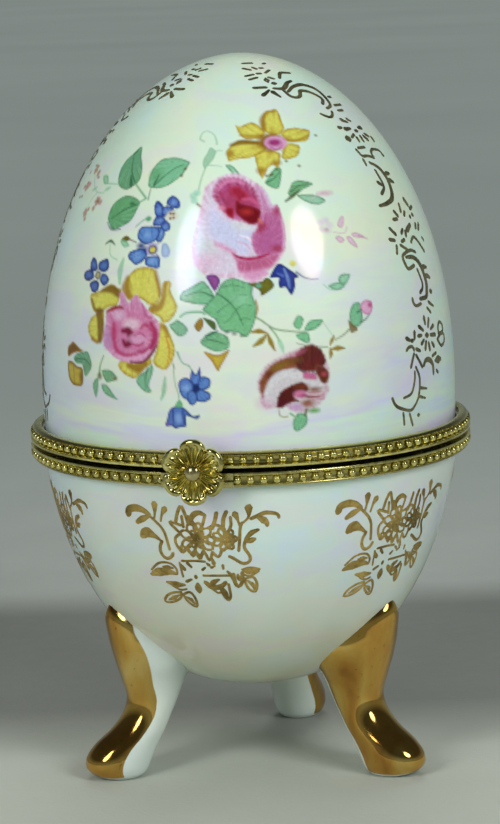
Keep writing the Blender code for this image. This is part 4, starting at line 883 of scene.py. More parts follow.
# One printed spray on the bowl: strokes as (widths, points), points as (angle, height)
SPRAY = (
    ((0.8, 0.9, 0.5), [(-22.9, -7.9), (-22.3, -7.1), (-20.3, -6.75), (-17.9, -6.95), (-15.8, -7.7)]),
    ((0.5, 0.8, 0.4), [(-20.3, -9.1), (-18.5, -8.5), (-16.1, -7.9)]),
    ((0.35,), [(-15.8, -7.9), (-13.5, -9.1), (-12.3, -10), (-11.7, -11), (-11.2, -13.2)]),
    ((0.25, 0.3, 0.8), [(-14.7, -8.6), (-14.1, -7.4), (-13.9, -5.9)]),
    ((0.25, 0.3, 0.75), [(-12.6, -8.6), (-11.9, -7.4), (-11, -6.6)]),
    ((0.9, 1.3, 0.6, 0.3), [(-19.1, -11.2), (-17.7, -10.6), (-15.3, -11.1), (-13.5, -11.8)]),
    ((0.4,), [(-13.2, -11.9), (-14.1, -12.9), (-14.1, -13.9), (-12.9, -14.7), (-11.2, -14.5),
              (-10.3, -13.8)]),
    ((0.4,), [(-8.2, -8.8), (-7.3, -7.1), (-6.1, -6), (-5.3, -7.1), (-4.4, -8.9)]),
    ((0.35,), [(-6.2, -7.6), (-6, -9.4)]),
    ((0.35,), [(-7.6, -10.2), (-10, -8.6), (-6.7, -9.1)]),
    ((0.35,), [(-7.3, -10.5), (-8.8, -11.2), (-8.8, -12.3), (-7.6, -13.5)]),
    ((0.4, 0.7, 0.4), [(-4.2, -8.8), (-2.9, -7.4), (-1.2, -7), (0.4, -7.4)]),
    ((0.35,), [(-4.4, -7.6), (-2.6, -9), (-2, -9.8)]),
    ((0.35,), [(0.4, -7.4), (-0.4, -8.8), (-1.4, -9.8)]),
    ((0.45,), [(3.6, -7), (3, -8.3), (2.1, -9.5)]),
    ((0.45,), [(6.3, -6.8), (5.4, -8), (5.1, -9.5)]),
    ((0.35,), [(7.3, -7.7), (7.4, -8.9), (6.6, -10)]),
    ((0.35,), [(1.2, -9.4), (3.2, -8.9), (5.6, -9.6)]),
    ((0.4,), [(5.1, -9.8), (7.7, -10.9), (7.4, -12), (5.1, -12.9)]),
    ((0.35,), [(-7.6, -12.6), (-7, -13.6), (-5.8, -12.8), (-4.2, -14.2), (-3.4, -13)]),
    ((0.35,), [(-3.4, -13), (-2.3, -14.6), (-1, -13.2), (0.5, -14.8), (1.6, -13.4)]),
    ((0.35,), [(1.6, -13.4), (3.2, -14.2), (4.4, -12.9)]),
    ((0.4, 0.3), [(-6.4, -15.3), (-5.3, -16)]),
    ((0.35, 0.25), [(-2, -16.4), (-1.1, -16)]),
    ((0.35, 0.25), [(0.7, -16), (1.8, -15.7)]),
    ((0.35, 0.25), [(4.2, -15.6), (4.3, -16.2)]),
    ((0.4, 0.4), [(-4.4, -17.5), (-4.4, -17.8)]),
    ((0.5, 0.95, 0.5), [(-4.2, -18.9), (-4.2, -19.5), (-4.1, -20.2)]),
    ((0.3,), [(-2, -17.35), (6.3, -17.3)]),
    ((0.28,), [(-18.8, -16.9), (-15.6, -15.6), (-12, -15.5), (-10.2, -16.4), (-10.2, -17.2)]),
    ((0.2, 0.6, 0.2), [(-14.6, -16.2), (-11.2, -16.3)]),
    ((0.2, 0.55, 0.2), [(-15.4, -21.9), (-13.4, -21.5), (-11.2, -20.9)]),
    ((0.2, 0.5, 0.2), [(-9, -21.2), (-7.5, -21.6), (-6.5, -22.4)]),
    ((0.28,), [(-12.6, -19.4), (-10.2, -20), (-8.2, -19.8)]),
    ((0.2, 0.7, 0.3), [(-0.6, -19.4), (0.8, -18.5), (2.6, -18)]),
    ((0.2, 0.55, 0.2), [(3.5, -19.4), (4.3, -20.4), (4.8, -21.2)]),
    ((0.28,), [(0.2, -19.6), (1.8, -20.3), (2.7, -20.2)]),
    ((0.28, 0.5, 0.28), [(5.4, -16.6), (6.6, -17.4), (7.6, -18.8)]),
    ((0.2, 0.6, 0.2), [(8.4, -17.1), (8.7, -18.2)]),
    ((0.28,), [(9.4, -17), (12, -17.4), (14.6, -16.6)]),
    ((0.2, 0.55, 0.2), [(11.2, -18.2), (12.8, -19), (13.2, -19.8)]),
    ((0.3, 0.5), [(-8.6, -15.6), (-7.6, -16.4)]),
    ((0.3, 0.5), [(1.4, -14.6), (1.6, -15.3)]),
    ((0.3, 0.4), [(-0.4, -15.3), (0.2, -15.6)]),
    ((0.3, 0.3), [(-8, -15), (-4, -14.9), (-1, -15)]),
    ((0.4, 1.1, 0.9, 0.3), [(-19.2, -17.7), (-16.5, -17.2), (-13, -17), (-10.3, -17.3)]),
    ((0.25,), [(-8.8, -15.3), (-8.5, -17.7)]),
    ((0.3, 0.9, 0.3), [(-14.4, -18.8), (-11.5, -19.1), (-8.5, -19.1)]),
    ((0.4, 0.3), [(-7.6, -18.5), (-5.9, -18.1)]),
    ((0.32,), [(-10.3, -20.4), (-13.2, -20.6), (-15.9, -21.3), (-17, -22.3), (-13.8, -22.2), (-10.9, -21.4),
               (-10.3, -20.4)]),
    ((0.32,), [(-9.7, -20.8), (-7.3, -20.3), (-5.9, -21.4), (-5.9, -22.8), (-7.6, -22.5), (-9.1, -21.7),
               (-9.7, -20.8)]),
    ((0.5, 0.7, 0.5), [(-1.7, -18.5), (0.4, -19.4), (3.3, -19.1), (4.5, -18.5)]),
    ((0.32,), [(2.7, -19.4), (3.6, -20.8), (4.8, -21.6), (5.7, -20.8), (5.4, -18.8)]),
    ((0.45,), [(7.1, -17.1), (7.4, -18.5), (8.3, -19.2), (9.5, -18.5), (9.8, -16.8)]),
    ((0.3, 1.0, 0.9, 0.3), [(9.8, -16.3), (12, -16.5), (13.6, -16.4), (14.8, -16.3)]),
    ((0.32,), [(10.4, -17.9), (12.8, -17.6), (14, -18.8), (13.4, -20.1), (11.6, -19.7), (10.7, -18.8),
               (10.4, -17.9)]),
    ((0.35,), [(9.1, -13.2), (9.5, -11.4), (9.8, -9.5), (10.4, -8.6)]),
    ((0.25, 0.3, 0.75), [(9.8, -9.3), (9.2, -8), (8.6, -7.2)]),
    ((0.25, 0.3, 0.9), [(10.7, -8.6), (12.2, -7.7), (12.3, -6.2)]),
    ((0.4, 0.5, 0.35), [(12.8, -8), (14.5, -7.6), (16.9, -7.1), (19.9, -7.4), (20.4, -8)]),
    ((0.4, 0.85, 0.4), [(14.6, -7.7), (16.9, -8.6), (17.2, -9.2)]),
    ((0.4, 0.65, 0.35), [(11.3, -11.2), (12.8, -10.3), (14.8, -9.8)]),
    ((0.4, 0.75, 0.4), [(11.6, -11.7), (13.7, -11.3)]),
    ((0.38,), [(11.3, -11.2), (10.7, -12.6), (12.2, -14.1), (11.9, -15), (10.1, -15.3), (7.4, -14.4),
               (6.3, -14.1)]),
)
SPRAY_COUNT = 6
# The spray's flowers: middle, reach in millimetres and number of petals of each ring
ROSETTES = (
    ((-2.4, -11.3), 2.7, 9),
    ((-2.4, -11.3), 1.6, 6),
    ((-2.4, -11.3), 0.8, 3),
    ((5.4, -11.3), 1.9, 7),
    ((5.4, -11.3), 0.9, 4),
)

# The garland down one side of the lid, written like the spray
GARLAND = (
    # First daisy, near the top
    ((0.3,), [(18.5, 57.6), (25.3, 57.8)]),
    ((0.3,), [(21, 57.1), (27.3, 57.35)]),
    ((0.35,), [(22.6, 55.9), (30.7, 55.9)]),
    ((0.45, 0.25), [(27.2, 54.8), (32, 55.5)]),
    ((0.5, 0.25), [(33.7, 55.2), (37, 54.45)]),
    ((0.3,), [(32.4, 56.9), (33.7, 57.2), (35, 56.9), (33.7, 56.6), (32.4, 56.9)]),
    ((0.3,), [(36.3, 57.3), (40, 57.05)]),
    ((0.45, 0.45), [(37, 56.4), (38.4, 56.4)]),
    ((0.3,), [(28.5, 57.9), (32, 57.9)]),
    ((0.3,), [(34, 58.65), (37.5, 58.65)]),
    ((0.3,), [(17.2, 58.7), (24.4, 58.45)]),
    ((0.3,), [(27.2, 58.8), (30.6, 58.55)]),
    ((0.3,), [(18, 59.4), (30, 59.4)]),
    ((0.3,), [(36.3, 57.95), (42, 58.3)]),
    ((0.3,), [(42.5, 59.2), (46, 59.3)]),
    # First scroll
    ((0.3, 0.45, 0.4, 0.3), [(43.8, 55.1), (48.9, 55.7), (55, 55.95), (60, 55.9), (66.5, 55.2), (68, 54),
                             (66.3, 52.7), (61.8, 52.3)]),
    ((0.3, 0.4, 0.35), [(41, 55.5), (43.2, 54.5), (46.4, 54.2), (50, 54.4), (52.6, 55.1), (58.3, 54.9),
                        (62.7, 54.2), (64, 53.6), (61.2, 53)]),
    ((0.3, 0.5, 0.3), [(35.4, 55.7), (42, 55.6), (47.6, 56.35), (52.6, 56.6)]),
    ((0.3, 0.4, 0.3), [(45, 57.1), (49.5, 57.8), (55, 57.8), (60, 57.7)]),
    ((0.3,), [(55, 51.6), (57.2, 51.25), (59.6, 51), (62, 51.25), (63.6, 51.8)]),
    ((0.3,), [(69.5, 52.6), (76, 52.6)]),
    ((0.3,), [(68.8, 51.8), (73, 51.8)]),
    ((0.3,), [(71, 53.85), (73.7, 53.85)]),
    # Second daisy
    ((0.45, 0.25), [(65.7, 50.5), (69, 50)]),
    ((0.35, 0.25), [(70.3, 50.5), (72, 50.1)]),
    ((0.4, 0.3), [(60.6, 49.4), (62.4, 49.4)]),
    ((0.5, 0.3), [(64.2, 49.1), (67.9, 49.1)]),
    ((0.35,), [(70.3, 48.65), (71.8, 48.65)]),
    ((0.3, 0.5), [(74, 49), (76.7, 49)]),
    ((0.7, 0.7), [(62.1, 47.7), (62.7, 47.7)]),
    ((0.3,), [(65, 47.8), (67.6, 48.2)]),
    ((0.35, 0.3), [(68.2, 47.7), (68.2, 47.1)]),
    ((0.35, 0.3), [(71.3, 47.8), (71.3, 47)]),
    ((0.35, 0.45), [(73.7, 47.8), (75.2, 47.2)]),
    ((0.35, 0.35), [(76, 48), (78, 47.6)]),
    ((0.35, 0.3), [(80, 47.4), (80, 46.8)]),
    ((0.3,), [(65, 46.2), (69.4, 46.2)]),
    # Second scroll
    ((0.3,), [(63.3, 46), (64.8, 45), (68.2, 44.9), (71.8, 44.5)]),
    ((0.3,), [(71.5, 44.7), (71.8, 45.3), (73.7, 45.7), (76.7, 45.6), (79.1, 45.3), (80, 44.5)]),
    ((0.3,), [(64.4, 44.5), (64.4, 43.6)]),
    ((0.3, 0.45, 0.5, 0.3), [(67.3, 43.9), (71.2, 43), (73.1, 41.5), (73, 40.1), (71.2, 38.4), (67, 37.7),
                             (62.7, 37.5)]),
    ((0.3, 0.35), [(68.2, 42.7), (69, 40.8), (68.5, 39.9), (66, 39.2)]),
    ((0.4, 0.3), [(66.6, 40.9), (68.4, 40.4)]),
    ((0.3, 0.5, 0.25), [(73.4, 41.9), (75, 42), (76.7, 41.9)]),
    ((0.3, 0.5, 0.25), [(73, 41), (75, 40.9), (76.7, 40.5)]),
    # Third daisy
    ((0.35,), [(73.6, 37.3), (72.9, 36.1)]),
    ((0.35,), [(75.4, 36), (74.3, 35.5)]),
    ((0.35,), [(68.9, 36.4), (70.3, 35.6)]),
    ((0.35,), [(67.3, 35.2), (69.2, 35.2)]),
    ((0.55, 0.4), [(73, 33.3), (76, 34)]),
    ((0.35,), [(79.1, 33.3), (80.3, 33.9)]),
    ((0.35,), [(81, 33), (82.8, 33.8)]),
    ((0.5, 0.4), [(78.6, 37.8), (79.8, 36.8)]),
    ((0.35,), [(80.3, 36.2), (82.8, 36.5)]),
    ((0.4, 0.4), [(77.8, 35.1), (78.3, 35.1)]),
    ((0.4, 0.4), [(80.3, 35.3), (80.8, 35.3)]),
    ((0.35,), [(63.8, 34), (65.9, 33)]),
    ((0.35,), [(62.4, 32.4), (64.5, 32.15)]),
    ((0.35,), [(64, 30.2), (64.7, 31.3)]),
    ((0.35,), [(69, 33), (70.3, 33.5)]),
    ((0.35,), [(71.2, 32.5), (71.7, 33.2)]),
    ((0.35,), [(68, 31.8), (69.6, 32)]),
    ((0.3,), [(66.8, 31.3), (68.9, 30.7), (70.3, 30.3)]),
    ((0.3,), [(73, 31.4), (74.5, 31.95), (76.3, 32), (78.7, 30.7), (80.3, 29.6)]),
    ((0.3,), [(81.7, 31.7), (82.4, 31.2)]),
    # Third scroll
    ((0.3, 0.35), [(74, 29.85), (71.2, 30.3), (67, 29.85), (66.3, 29.1), (67.5, 27.7), (69.1, 27.7),
                   (71.2, 27.95)]),
    ((0.3, 0.5, 0.5, 0.35), [(68, 29.4), (72.2, 29.1), (75.2, 27.6), (76.2, 25.1), (75.6, 23.9),
                             (74.5, 22.9), (70.8, 22.8)]),
    ((0.25, 0.35), [(72.4, 27.3), (73.6, 25.2), (73.1, 24.3), (71.5, 23.75)]),
    ((0.3,), [(66.8, 23.1), (67, 22.4), (68.2, 21.9), (70.8, 22.05)]),
    ((0.3, 0.5, 0.25), [(75.2, 27.3), (77, 27.4), (78.7, 27.2)]),
    ((0.3, 0.5, 0.25), [(75.9, 26.1), (78, 25.9), (79.6, 25.5)]),
    ((0.5, 0.5), [(77.7, 23.5), (78.3, 23.5)]),
    ((0.35, 0.25), [(75.4, 22), (78, 21.2)]),
    ((0.3,), [(73.8, 21.2), (75.6, 20.4)]),
    # Fourth daisy
    ((0.5, 0.5), [(71.4, 17.1), (72, 17.1)]),
    ((0.4, 0.3), [(71.2, 19.9), (71.4, 18.9)]),
    ((0.4, 0.3), [(73.6, 19.5), (72.7, 18.3)]),
    ((0.3, 0.4), [(74.2, 17.9), (76, 18.3)]),
    ((0.3, 0.4), [(73.6, 17), (76.6, 16.85)]),
    ((0.3, 0.4), [(74, 15.8), (75.1, 15.2)]),
    ((0.3, 0.4), [(72.1, 15.9), (72.5, 14.8)]),
    ((0.3, 0.4), [(70.8, 16.2), (70.1, 15.1)]),
    ((0.3, 0.4), [(69.7, 16.5), (68.4, 16)]),
    ((0.4, 0.3), [(67.3, 17.3), (68.8, 17.3)]),
    ((0.4, 0.3), [(68, 18.7), (69.9, 18)]),
    ((0.4, 0.3), [(65.5, 18), (65.2, 17)]),
    ((0.4, 0.3), [(61.8, 17.3), (63.2, 16.9)]),
    ((0.4, 0.4), [(63.8, 16.8), (64.3, 16.8)]),
    ((0.3,), [(61.3, 15.5), (62.3, 15.9), (63.9, 15.9), (64.5, 15.3)]),
    ((0.35, 0.3), [(65.6, 15.4), (67.3, 15)]),
    ((0.3,), [(79, 16.8), (79.2, 17.9), (80.7, 18.5), (82.5, 18), (82.7, 17.1), (81.2, 16.8), (79, 16.8)]),
    ((0.3,), [(77.7, 16), (80.3, 16.6), (82.9, 16.5), (83.1, 15.4), (80.3, 14.8), (77.7, 16)]),
    ((0.3,), [(62.6, 12.8), (63.4, 13.8), (64.3, 14.8)]),
    ((0.3,), [(65.2, 14.5), (66.5, 13.55), (67.8, 12.45)]),
    ((0.35, 0.5, 0.35), [(68.6, 12.6), (69.5, 13.3), (71.7, 13.3), (73.4, 12.4), (73.6, 10.95)]),
    ((0.3,), [(73.6, 13.7), (76, 14)]),
    ((0.3, 0.8, 0.3), [(75.2, 12.85), (77.1, 12.9), (79, 12.85)]),
    ((0.3,), [(75.6, 11.3), (76.6, 10.9)]),
    # Bird-shaped tail of the garland
    ((0.25, 0.3), [(64.7, 12.7), (66.2, 10.8), (65.4, 8.1), (62.8, 6.4), (60.8, 6.25), (56.9, 7),
                   (55.4, 7.7), (54.6, 8.6)]),
    ((0.25,), [(64.1, 12.05), (63.9, 10.8), (62.3, 8.8), (59.1, 8.3)]),
    ((0.3, 0.2), [(66.5, 9.3), (69.5, 8.95)]),
    ((0.3, 0.2), [(65.6, 8.05), (68.6, 7.55)]),
    ((0.25,), [(58.7, 6), (59.1, 4.15)]),
    ((0.25,), [(61.3, 5.65), (62.6, 3.8)]),
    ((0.35,), [(65, 5.15), (65.4, 5.15)]),
)
GARLAND_WEIGHT = 2.0      # the strokes' widths are scaled by these
SPRAY_WEIGHT = 1.6
GARLAND_MIRROR = -3.0     # the garland's other half is its mirror image about half this angle
RIBBON_STEP = 0.3         # about how far apart the places along a ribbon are
# Across a ribbon: (share of its half width, height above the glaze)
RIBBON_SECTION = ((-1.0, -0.04), (-0.75, 0.04), (0.0, 0.06), (0.75, 0.04), (1.0, -0.04))
CAP_WIDTH = 0.3           # a ribbon's ends narrow to this share of its width
CAP_LIFT = -0.03          # and sink this far into the glaze
# A printed petal's outline: (share of its reach, lean from its own direction in radians)
PETAL_OUTLINE = ((0.25, 0), (0.8, -0.34), (1.08, 0), (0.8, 0.34), (0.25, 0))
PETAL_WIDTHS = (0.26, 0.32, 0.26)
PETAL_STRETCH = (1.75, 0.92)  # degrees across and millimetres up for each millimetre of reach


def lay_ribbon(points, faces, radius_at, widths, line):
    """Add one thin raised ribbon of gilding along a line on the egg."""
    if len(widths) == 1:
        widths = widths * 2
    line = curve_through(line)
    middle = float(np.mean(line[:, 1]))
    flat = line * [DEGREE * float(radius_at(middle)), 1.0]
    travel = np.concatenate([[0], np.cumsum(np.linalg.norm(np.diff(flat, axis=0), axis=1))])
    count = max(4, int(travel[-1] / RIBBON_STEP))
    places = np.linspace(0, travel[-1], count)
    angle = np.interp(places, travel, line[:, 0])
    height = np.interp(places, travel, line[:, 1])
    half = np.interp(places / travel[-1], np.linspace(0, 1, len(widths)), widths) / 2
    centre = on_egg(radius_at, angle, height)
    normal = on_egg(radius_at, angle, height, 1.0) - centre
    ahead = np.gradient(centre, axis=0)
    side = np.cross(ahead, normal)
    side /= np.linalg.norm(side, axis=1, keepdims=True)
    # A narrow cap at both ends
    first_cap = centre[0] - ahead[0] / np.linalg.norm(ahead[0]) * half[0]
    last_cap = centre[-1] + ahead[-1] / np.linalg.norm(ahead[-1]) * half[-1]
    centre = np.concatenate([[first_cap], centre, [last_cap]])
    normal = np.concatenate([normal[:1], normal, normal[-1:]])
    side = np.concatenate([side[:1], side, side[-1:]])
    half = np.concatenate([[half[0] * CAP_WIDTH], half, [half[-1] * CAP_WIDTH]])
    start = len(points)
    for i in range(len(centre)):
        at_end = i in (0, len(centre) - 1)
        for share, lift in RIBBON_SECTION:
            rise = CAP_LIFT if at_end else lift
            points.append(centre[i] + side[i] * share * half[i] + normal[i] * rise)
    span = len(RIBBON_SECTION)
    for i in range(len(centre) - 1):
        for j in range(span - 1):
            corner = start + i * span + j
            faces.append((corner, corner + span, corner + span + 1, corner + 1))


def in_scene(name, data):
    """A new object in the scene that shows the given mesh, lamp or lens."""
    thing = bpy.data.objects.new(name, data)
    bpy.context.scene.collection.objects.link(thing)
    return thing


def mesh_in_metres(name, points, faces):
    """A mesh from points in millimetres."""
    mesh = bpy.data.meshes.new(name)
    mesh.from_pydata((np.asarray(points, float) * MM).tolist(), [], faces)
    return mesh


def mesh_piece(name, points, faces, finish, body, smooth_angle=60.0):
    """A named mesh with its material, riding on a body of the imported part."""
    mesh = mesh_in_metres(name, points, faces)
    mesh.validate()
    mesh.update()
    mesh.shade_smooth()
    mesh.set_sharp_from_angle(angle=smooth_angle * DEGREE)
    piece = in_scene(name, mesh)
    mesh.materials.append(finish)
    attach(piece, body)
    return piece


def face_outwards(piece):
    """Turn every face of a closed mesh outwards."""
    builder = bmesh.new()
    builder.from_mesh(piece.data)
    bmesh.ops.recalc_face_normals(builder, faces=builder.faces)
    builder.to_mesh(piece.data)
    builder.free()


def make_lid_gilding(finish):
    """The scroll and daisy garland on both sides of the lid."""
    points, faces = [], []
    for widths, line in GARLAND:
        widths = tuple(GARLAND_WEIGHT * width for width in widths)
        lay_ribbon(points, faces, lid_radius, widths, line)
        mirrored = [(GARLAND_MIRROR - angle, height) for angle, height in line]
        lay_ribbon(points, faces, lid_radius, widths, mirrored)
    mesh_piece("lid_gilding", points, faces, finish, "lid")


def make_base_gilding(finish):
    """Six printed sprays round the bowl."""
    points, faces = [], []
    chance = np.random.default_rng(11)
    strokes = list(SPRAY)
    for middle, size, petals in ROSETTES:
        for i in range(petals):
            turn = math.tau * (i + chance.uniform(-0.15, 0.15)) / petals
            loop = []
            for reach, lean in PETAL_OUTLINE:
                out = np.array((math.cos(turn + lean), math.sin(turn + lean))) * PETAL_STRETCH
                loop.append(tuple(np.array(middle) + size * reach * out))
            strokes.append((PETAL_WIDTHS, loop))
    for turn in range(SPRAY_COUNT):
        for widths, line in strokes:
            widths = tuple(SPRAY_WEIGHT * width for width in widths)
            turned = [(angle + turn * 360 / SPRAY_COUNT, height) for angle, height in line]
            lay_ribbon(points, faces, bowl_radius, widths, turned)
    mesh_piece("base_gilding", points, faces, finish, "base")


# ---------------------------------------------------------------------------- materials


class Nodes:
    """A short way to write a material's node tree."""

    def __init__(self, name):
        self.material = bpy.data.materials.new(name)
        self.material.use_nodes = True
        self.tree = self.material.node_tree
        self.shader = self.tree.nodes["Principled BSDF"]

    def add(self, kind, **settings):
        node = self.tree.nodes.new(kind)
        for key, value in settings.items():
            setattr(node, key, value)
        return node

    def link(self, source, target):
        self.tree.links.new(source, target)

    def feed(self, socket, source):
        """Link a source to one of the shader's own sockets."""
        self.link(source, self.shader.inputs[socket])

    def place(self, stretch=(1, 1, 1)):
        """Object coordinates, stretched."""
        where = self.add("ShaderNodeTexCoord").outputs["Object"]
        scaled = self.add("ShaderNodeMapping")
        scaled.inputs["Scale"].default_value = stretch
        self.link(where, scaled.inputs["Vector"])
        return scaled.outputs["Vector"]

    def noise(self, scale, detail=3.0, stretch=(1, 1, 1), distortion=0.0):
        """A cloudy pattern; scale is about how many spots there are to a metre."""
        node = self.add("ShaderNodeTexNoise")
        node.inputs["Scale"].default_value = scale
        node.inputs["Detail"].default_value = detail
        node.inputs["Distortion"].default_value = distortion
        self.link(self.place(stretch), node.inputs["Vector"])
        return node.outputs["Fac"]

    def ramp(self, source, stops):
        """A colour ramp: stops are (position, colour)."""
        node = self.add("ShaderNodeValToRGB")
        band = node.color_ramp
        band.elements[0].position, band.elements[0].color = stops[0][0], (*stops[0][1], 1)
        band.elements[1].position, band.elements[1].color = stops[-1][0], (*stops[-1][1], 1)
        for position, colour in stops[1:-1]:
            band.elements.new(position).color = (*colour, 1)
        self.link(source, node.inputs["Fac"])
        return node.outputs["Color"]

    def span(self, source, low, high, from_low=0.3, from_high=0.7):
        """Map a value onto a range."""
        node = self.add("ShaderNodeMapRange")
        node.inputs["From Min"].default_value = from_low
        node.inputs["From Max"].default_value = from_high
        node.inputs["To Min"].default_value = low
        node.inputs["To Max"].default_value = high
        self.link(source, node.inputs["Value"])
        return node.outputs["Result"]

    def blend(self, share, first, second, kind="MIX"):
        """Mix two colours; share is a socket or a number."""
        node = self.add("ShaderNodeMix", data_type="RGBA", blend_type=kind)
        if isinstance(share, float):
            node.inputs[0].default_value = share
        else:
            self.link(share, node.inputs[0])
        for value, socket in ((first, node.inputs[6]), (second, node.inputs[7])):
            if isinstance(value, tuple):
                socket.default_value = (*value, 1)
            else:
                self.link(value, socket)
        return node.outputs[2]

    def bump(self, source, strength, distance):
        """Fine relief, its depth in metres."""
        node = self.add("ShaderNodeBump")
        node.inputs["Strength"].default_value = strength
        node.inputs["Distance"].default_value = distance
        self.link(source, node.inputs["Height"])
        self.link(node.outputs["Normal"], self.shader.inputs["Normal"])

    def math(self, kind, first, second):
        """Sum, difference or product of two sockets or numbers."""
        node = self.add("ShaderNodeMath", operation=kind)
        for value, socket in ((first, node.inputs[0]), (second, node.inputs[1])):
            if isinstance(value, (int, float)):
                socket.default_value = value
            else:
                self.link(value, socket)
        return node.outputs[0]


# The glaze's colours where its noise has each value: upper and lower lid, upper and lower bowl; the lower
# bowl's are darker and warmer, as painted shade
GLAZE_UPPER = (
    (0.24, (0.56, 0.76, 0.80)),
    (0.40, (0.62, 0.81, 0.72)),
    (0.52, (0.67, 0.81, 0.68)),
    (0.64, (0.75, 0.81, 0.64)),
    (0.78, (0.76, 0.74, 0.72)),
)
GLAZE_MIDDLE = (
    (0.26, (0.50, 0.66, 0.84)),
    (0.40, (0.62, 0.78, 0.66)),
    (0.50, (0.62, 0.63, 0.78)),
    (0.60, (0.68, 0.78, 0.66)),
    (0.74, (0.72, 0.64, 0.72)),
)
GLAZE_BOWL = (
    (0.30, (0.60, 0.74, 0.80)),
    (0.50, (0.66, 0.78, 0.76)),
    (0.70, (0.70, 0.74, 0.72)),
)
# Painted shade: the bowl's lower glaze is darker and warmer than its upper glaze
GLAZE_BOTTOM_SHADED = (
    (0.30, (0.60, 0.64, 0.52)),
    (0.70, (0.66, 0.67, 0.56)),
)
# Faint pearl colours laid over the glaze
PEARL = (
    (0.34, (0.95, 0.98, 1.03)),
    (0.44, (0.96, 1.0, 0.95)),
    (0.54, (1.0, 0.99, 0.93)),
    (0.64, (1.0, 0.94, 1.01)),
)
WHITE = (1.0, 1.0, 1.0)
BLACK = (0.0, 0.0, 0.0)
# Heights in metres over which the lower colours give way to the upper ones
LID_CHANGE = (0.066, 0.092)
BOWL_CHANGE = (0.018, 0.042)
# Painted sheen: a cool tint along the glaze's left edge
PAINTED_SHEEN_SIDE = (-0.036, -0.020)  # the cool left edge fades out between these X, in metres
PAINTED_SHEEN_TINT = (0.56, 0.74, 0.82)
FILM_THICKNESS = (260, 460)   # of the lustre, in nanometres


def pearl_glaze(name, painted):
    """Pearl lustre over porcelain, with the enamel painting where there is one."""
    nodes = Nodes(name)
    parts = nodes.add("ShaderNodeSeparateXYZ")
    nodes.link(nodes.place(), parts.inputs[0])
    waver = nodes.span(nodes.noise(30, 3), -0.008, 0.008)
    height = nodes.math("ADD", parts.outputs["Z"], waver)
    streaks = nodes.noise(34, 4, (0.4, 0.4, 2.2), 0.9)
    clouds = nodes.noise(26, 3, (1, 1, 1.5), 0.6)
    if painted:
        top = nodes.ramp(clouds, GLAZE_UPPER)
        low = nodes.ramp(streaks, GLAZE_MIDDLE)
        share = nodes.span(height, 0.0, 1.0, *LID_CHANGE)
    else:
        top = nodes.ramp(streaks, GLAZE_BOWL)
        # Painted shade towards the bowl's bottom
        low = nodes.ramp(clouds, GLAZE_BOTTOM_SHADED)
        share = nodes.span(height, 0.0, 1.0, *BOWL_CHANGE)
    glaze = nodes.blend(share, low, top)
    sheen = nodes.ramp(nodes.noise(110, 3, (1, 1, 1.6), 0.5), PEARL)
    glaze = nodes.blend(1.0, glaze, sheen, "MULTIPLY")
    # Painted cool sheen along the left edge of the lid and bowl
    painted_sheen = nodes.span(parts.outputs["X"], 1.0, 0.0, *PAINTED_SHEEN_SIDE)
    glaze = nodes.blend(painted_sheen, glaze, PAINTED_SHEEN_TINT)
    if painted:
        enamel = nodes.add("ShaderNodeAttribute", attribute_name="enamel")
        grain = nodes.ramp(nodes.noise(1900, 4), ((0.3, (0.90, 0.89, 0.89)), (0.7, (1.07, 1.08, 1.07))))
        paint = nodes.blend(1.0, enamel.outputs["Color"], grain, "MULTIPLY")
        bare = nodes.math("SUBTRACT", 1.0, enamel.outputs["Alpha"])
        under = nodes.add("ShaderNodeVectorMath", operation="SCALE")
        nodes.link(glaze, under.inputs[0])
        nodes.link(bare, under.inputs["Scale"])
        total = nodes.add("ShaderNodeVectorMath", operation="ADD")
        nodes.link(under.outputs[0], total.inputs[0])
        nodes.link(paint, total.inputs[1])
        glaze = total.outputs[0]
    nodes.feed("Base Color", glaze)
    nodes.feed("Roughness", nodes.span(nodes.noise(90, 4), 0.10, 0.17))
    film = nodes.noise(34, 3, (1, 1, 2), 1.0)
    nodes.feed("Thin Film Thickness", nodes.span(film, *FILM_THICKNESS))
    nodes.shader.inputs["Thin Film IOR"].default_value = 1.6
    nodes.shader.inputs["IOR"].default_value = 1.5
    nodes.bump(nodes.noise(300, 4), 0.22, 0.00012)
    return nodes.material


# Colour of the painted shade in the rim's groove round the beads
GROOVE_SHADE = (0.46, 0.39, 0.13)
# How much painted shade darkens the rim, from well behind its beads (0) to its outer wall (1)
GROOVE_SHADE_PLACES = ((0.1, BLACK), (0.3, WHITE), (0.52, WHITE), (0.82, BLACK))


def brass(name, light, dark, rough, grain=900, metal=1.0, shaded_groove=False):
    """Brass or gilding, tarnished in soft patches, with specks and an uneven polish, and on a collar
    painted shade in the groove round its beads.
    """
    nodes = Nodes(name)
    patch = nodes.noise(260, 5, distortion=0.4)
    finish = nodes.ramp(patch, ((0.32, dark), (0.62, light)))
    speck = nodes.ramp(nodes.noise(grain, 4), ((0.34, (0.62, 0.58, 0.5)), (0.5, WHITE)))
    finish = nodes.blend(0.7, finish, speck, "MULTIPLY")
    # Painted shade: the collar is darkened in the groove round its beads, set by distance from the axis
    if shaded_groove:
        reach = nodes.add("ShaderNodeVectorMath", operation="LENGTH")
        nodes.link(nodes.place((1, 1, 0)), reach.inputs[0])
        floor = (COLLAR_RADIUS - 2 * GROOVE_DEPTH) * MM
        place = nodes.span(reach.outputs["Value"], 0.0, 1.0, floor, COLLAR_RADIUS * MM)
        groove_shade = nodes.ramp(place, GROOVE_SHADE_PLACES)
        finish = nodes.blend(groove_shade, finish, GROOVE_SHADE)
    nodes.feed("Base Color", finish)
    nodes.shader.inputs["Metallic"].default_value = metal
    nodes.feed("Roughness", nodes.span(nodes.noise(700, 4), rough[0], rough[1]))
    nodes.bump(nodes.noise(grain * 1.6, 4), 0.25, 0.00006)
    return nodes.material


# The brushed gold's colours where its noise has each value
FOOT_GOLD = (
    (0.28, (0.44, 0.20, 0.045)),
    (0.42, (0.58, 0.31, 0.07)),
    (0.56, (0.68, 0.42, 0.10)),
    (0.72, (0.76, 0.54, 0.18)),
)


